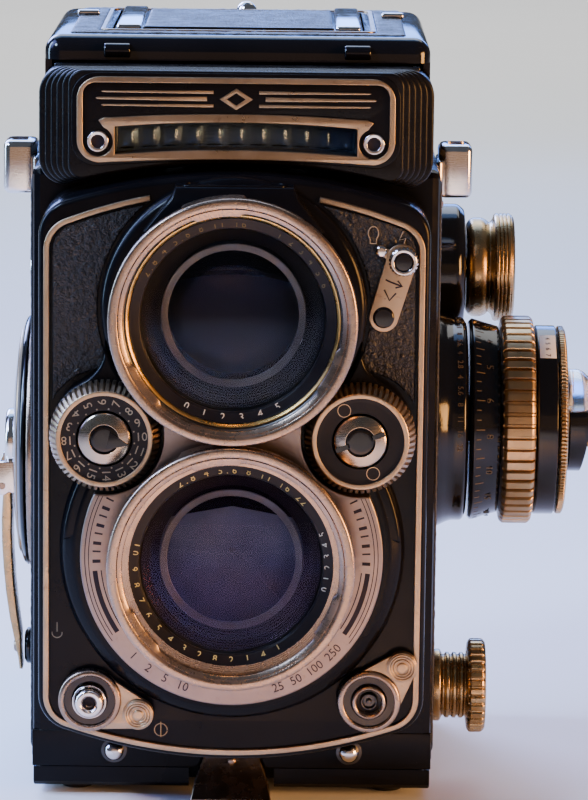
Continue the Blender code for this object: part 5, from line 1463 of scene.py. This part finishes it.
# ------------------------------------------------------------------ stage, light, camera
me = bpy.data.meshes.new("floor")
me.from_pydata([(-6, -6, 0), (6, -6, 0), (6, 6, 0), (-6, 6, 0)], [], [(0, 1, 2, 3)])
floor = bpy.data.objects.new("floor", me)
bpy.context.scene.collection.objects.link(floor)
fm, nt, b = new_mat("pale_floor")
nt.links.new(mix_col(nt, to_range(nt, noise_tex(nt, coords(nt), 3.0, 4.0).outputs["Fac"], 0.0, 1.0), (0.80, 0.80, 0.80), (0.84, 0.84, 0.84)),
             b.inputs["Base Color"])
setv(b, rough=0.7, spec=0.2)
me.materials.append(fm)
floor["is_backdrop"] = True

w = bpy.data.worlds.new("studio")
bpy.context.scene.world = w
w.use_nodes = True
bg = w.node_tree.nodes["Background"]
bg.inputs[0].default_value = (0.70, 0.80, 1.0, 1.0)
bg.inputs[1].default_value = 0.13


def area(name, at, target, size, power, colour, size_y=None, spread=180.0):
    d = bpy.data.lights.new(name, "AREA")
    d.energy = power
    d.color = colour
    d.shape = "RECTANGLE"
    d.size = size
    d.size_y = size_y or size
    d.spread = math.radians(spread)
    o = bpy.data.objects.new(name, d)
    o.location = at
    o.rotation_mode = "QUATERNION"
    o.rotation_quaternion = (Vector(target) - Vector(at)).to_track_quat("-Z", "Y")
    bpy.context.scene.collection.objects.link(o)
    return o


mid = (0, 0, 0.08)
area("key_upper_left", (-0.62, -0.52, 0.80), mid, 0.22, 0.50, (0.50, 0.68, 1.0), spread=38)
area("sky_behind", (-0.15, 0.75, 0.95), (0, 0.15, 0.1), 1.0, 4.2, (0.28, 0.50, 1.0), spread=120)
area("window_behind", (0.0, 1.2, 0.46), (0, 0, 0.15), 1.3, 4.2, (0.16, 0.34, 1.0), 0.34, spread=110)
area("window_left", (-0.60, -0.06, 0.56), mid, 0.42, 1.5, (0.30, 0.38, 1.0), 0.60, spread=70)
area("window_back_left", (-0.55, 1.00, 0.62), mid, 0.60, 3.2, (0.34, 0.44, 1.0), 0.50, spread=60)
area("warm_card", (0.02, -0.19, 0.34), (0.02, -0.19, 0.0), 0.14, 0.26, (1.0, 0.44, 0.09), spread=30)
area("warm_low_right", (0.85, -0.40, 0.16), mid, 0.40, 3.4, (1.0, 0.46, 0.13), spread=70)
area("warm_table", (0.10, -0.62, 0.015), (0, -0.1, 0.16), 0.8, 0.40, (1.0, 0.52, 0.22), 0.5, spread=150)
area("table_glow", (0.0, -0.46, 0.55), (0, -0.46, 0), 0.30, 1.2, (1.0, 0.74, 0.50), spread=62)
area("left_strip", (-0.75, 0.05, 0.35), mid, 0.14, 2.2, (0.42, 0.66, 1.0), 0.7, spread=80)
area("floor_wash", (0.0, 1.5, 1.2), (0.0, 1.5, 0.0), 1.6, 20.0, (1.0, 0.99, 0.97), spread=140)

cam_data = bpy.data.cameras.new("camera")
cam = bpy.data.objects.new("camera", cam_data)
bpy.context.scene.collection.objects.link(cam)
bpy.context.scene.camera = cam
cam_data.sensor_fit = "AUTO"
cam_data.sensor_width = 36.0
cam_data.lens = 36.0 * 4249.5 / 800.0
cam_data.clip_start, cam_data.clip_end = 0.05, 50.0
YAW, PITCH, ROLL = 0.001484, 0.177778, 0.011257
fwd = Vector((math.sin(YAW) * math.cos(PITCH), math.cos(YAW) * math.cos(PITCH), -math.sin(PITCH)))
right = Vector((math.cos(YAW), -math.sin(YAW), 0.0))
up = right.cross(fwd)
r2 = right * math.cos(ROLL) + up * math.sin(ROLL)
u2 = up * math.cos(ROLL) - right * math.sin(ROLL)
cam.matrix_world = Matrix(((r2.x, u2.x, -fwd.x, 0.0101), (r2.y, u2.y, -fwd.y, -0.8233), (r2.z, u2.z, -fwd.z, 0.22042), (0, 0, 0, 1)))

for o in bpy.context.scene.objects:
    if o.type == "MESH" and o.material_slots and o.material_slots[0].material in (GLASS_TAKE, GLASS_VIEW, GLASS_IN, WINDOW, CELLGLASS):
        o.visible_shadow = False
bpy.context.view_layer.update()
lo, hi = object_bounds()
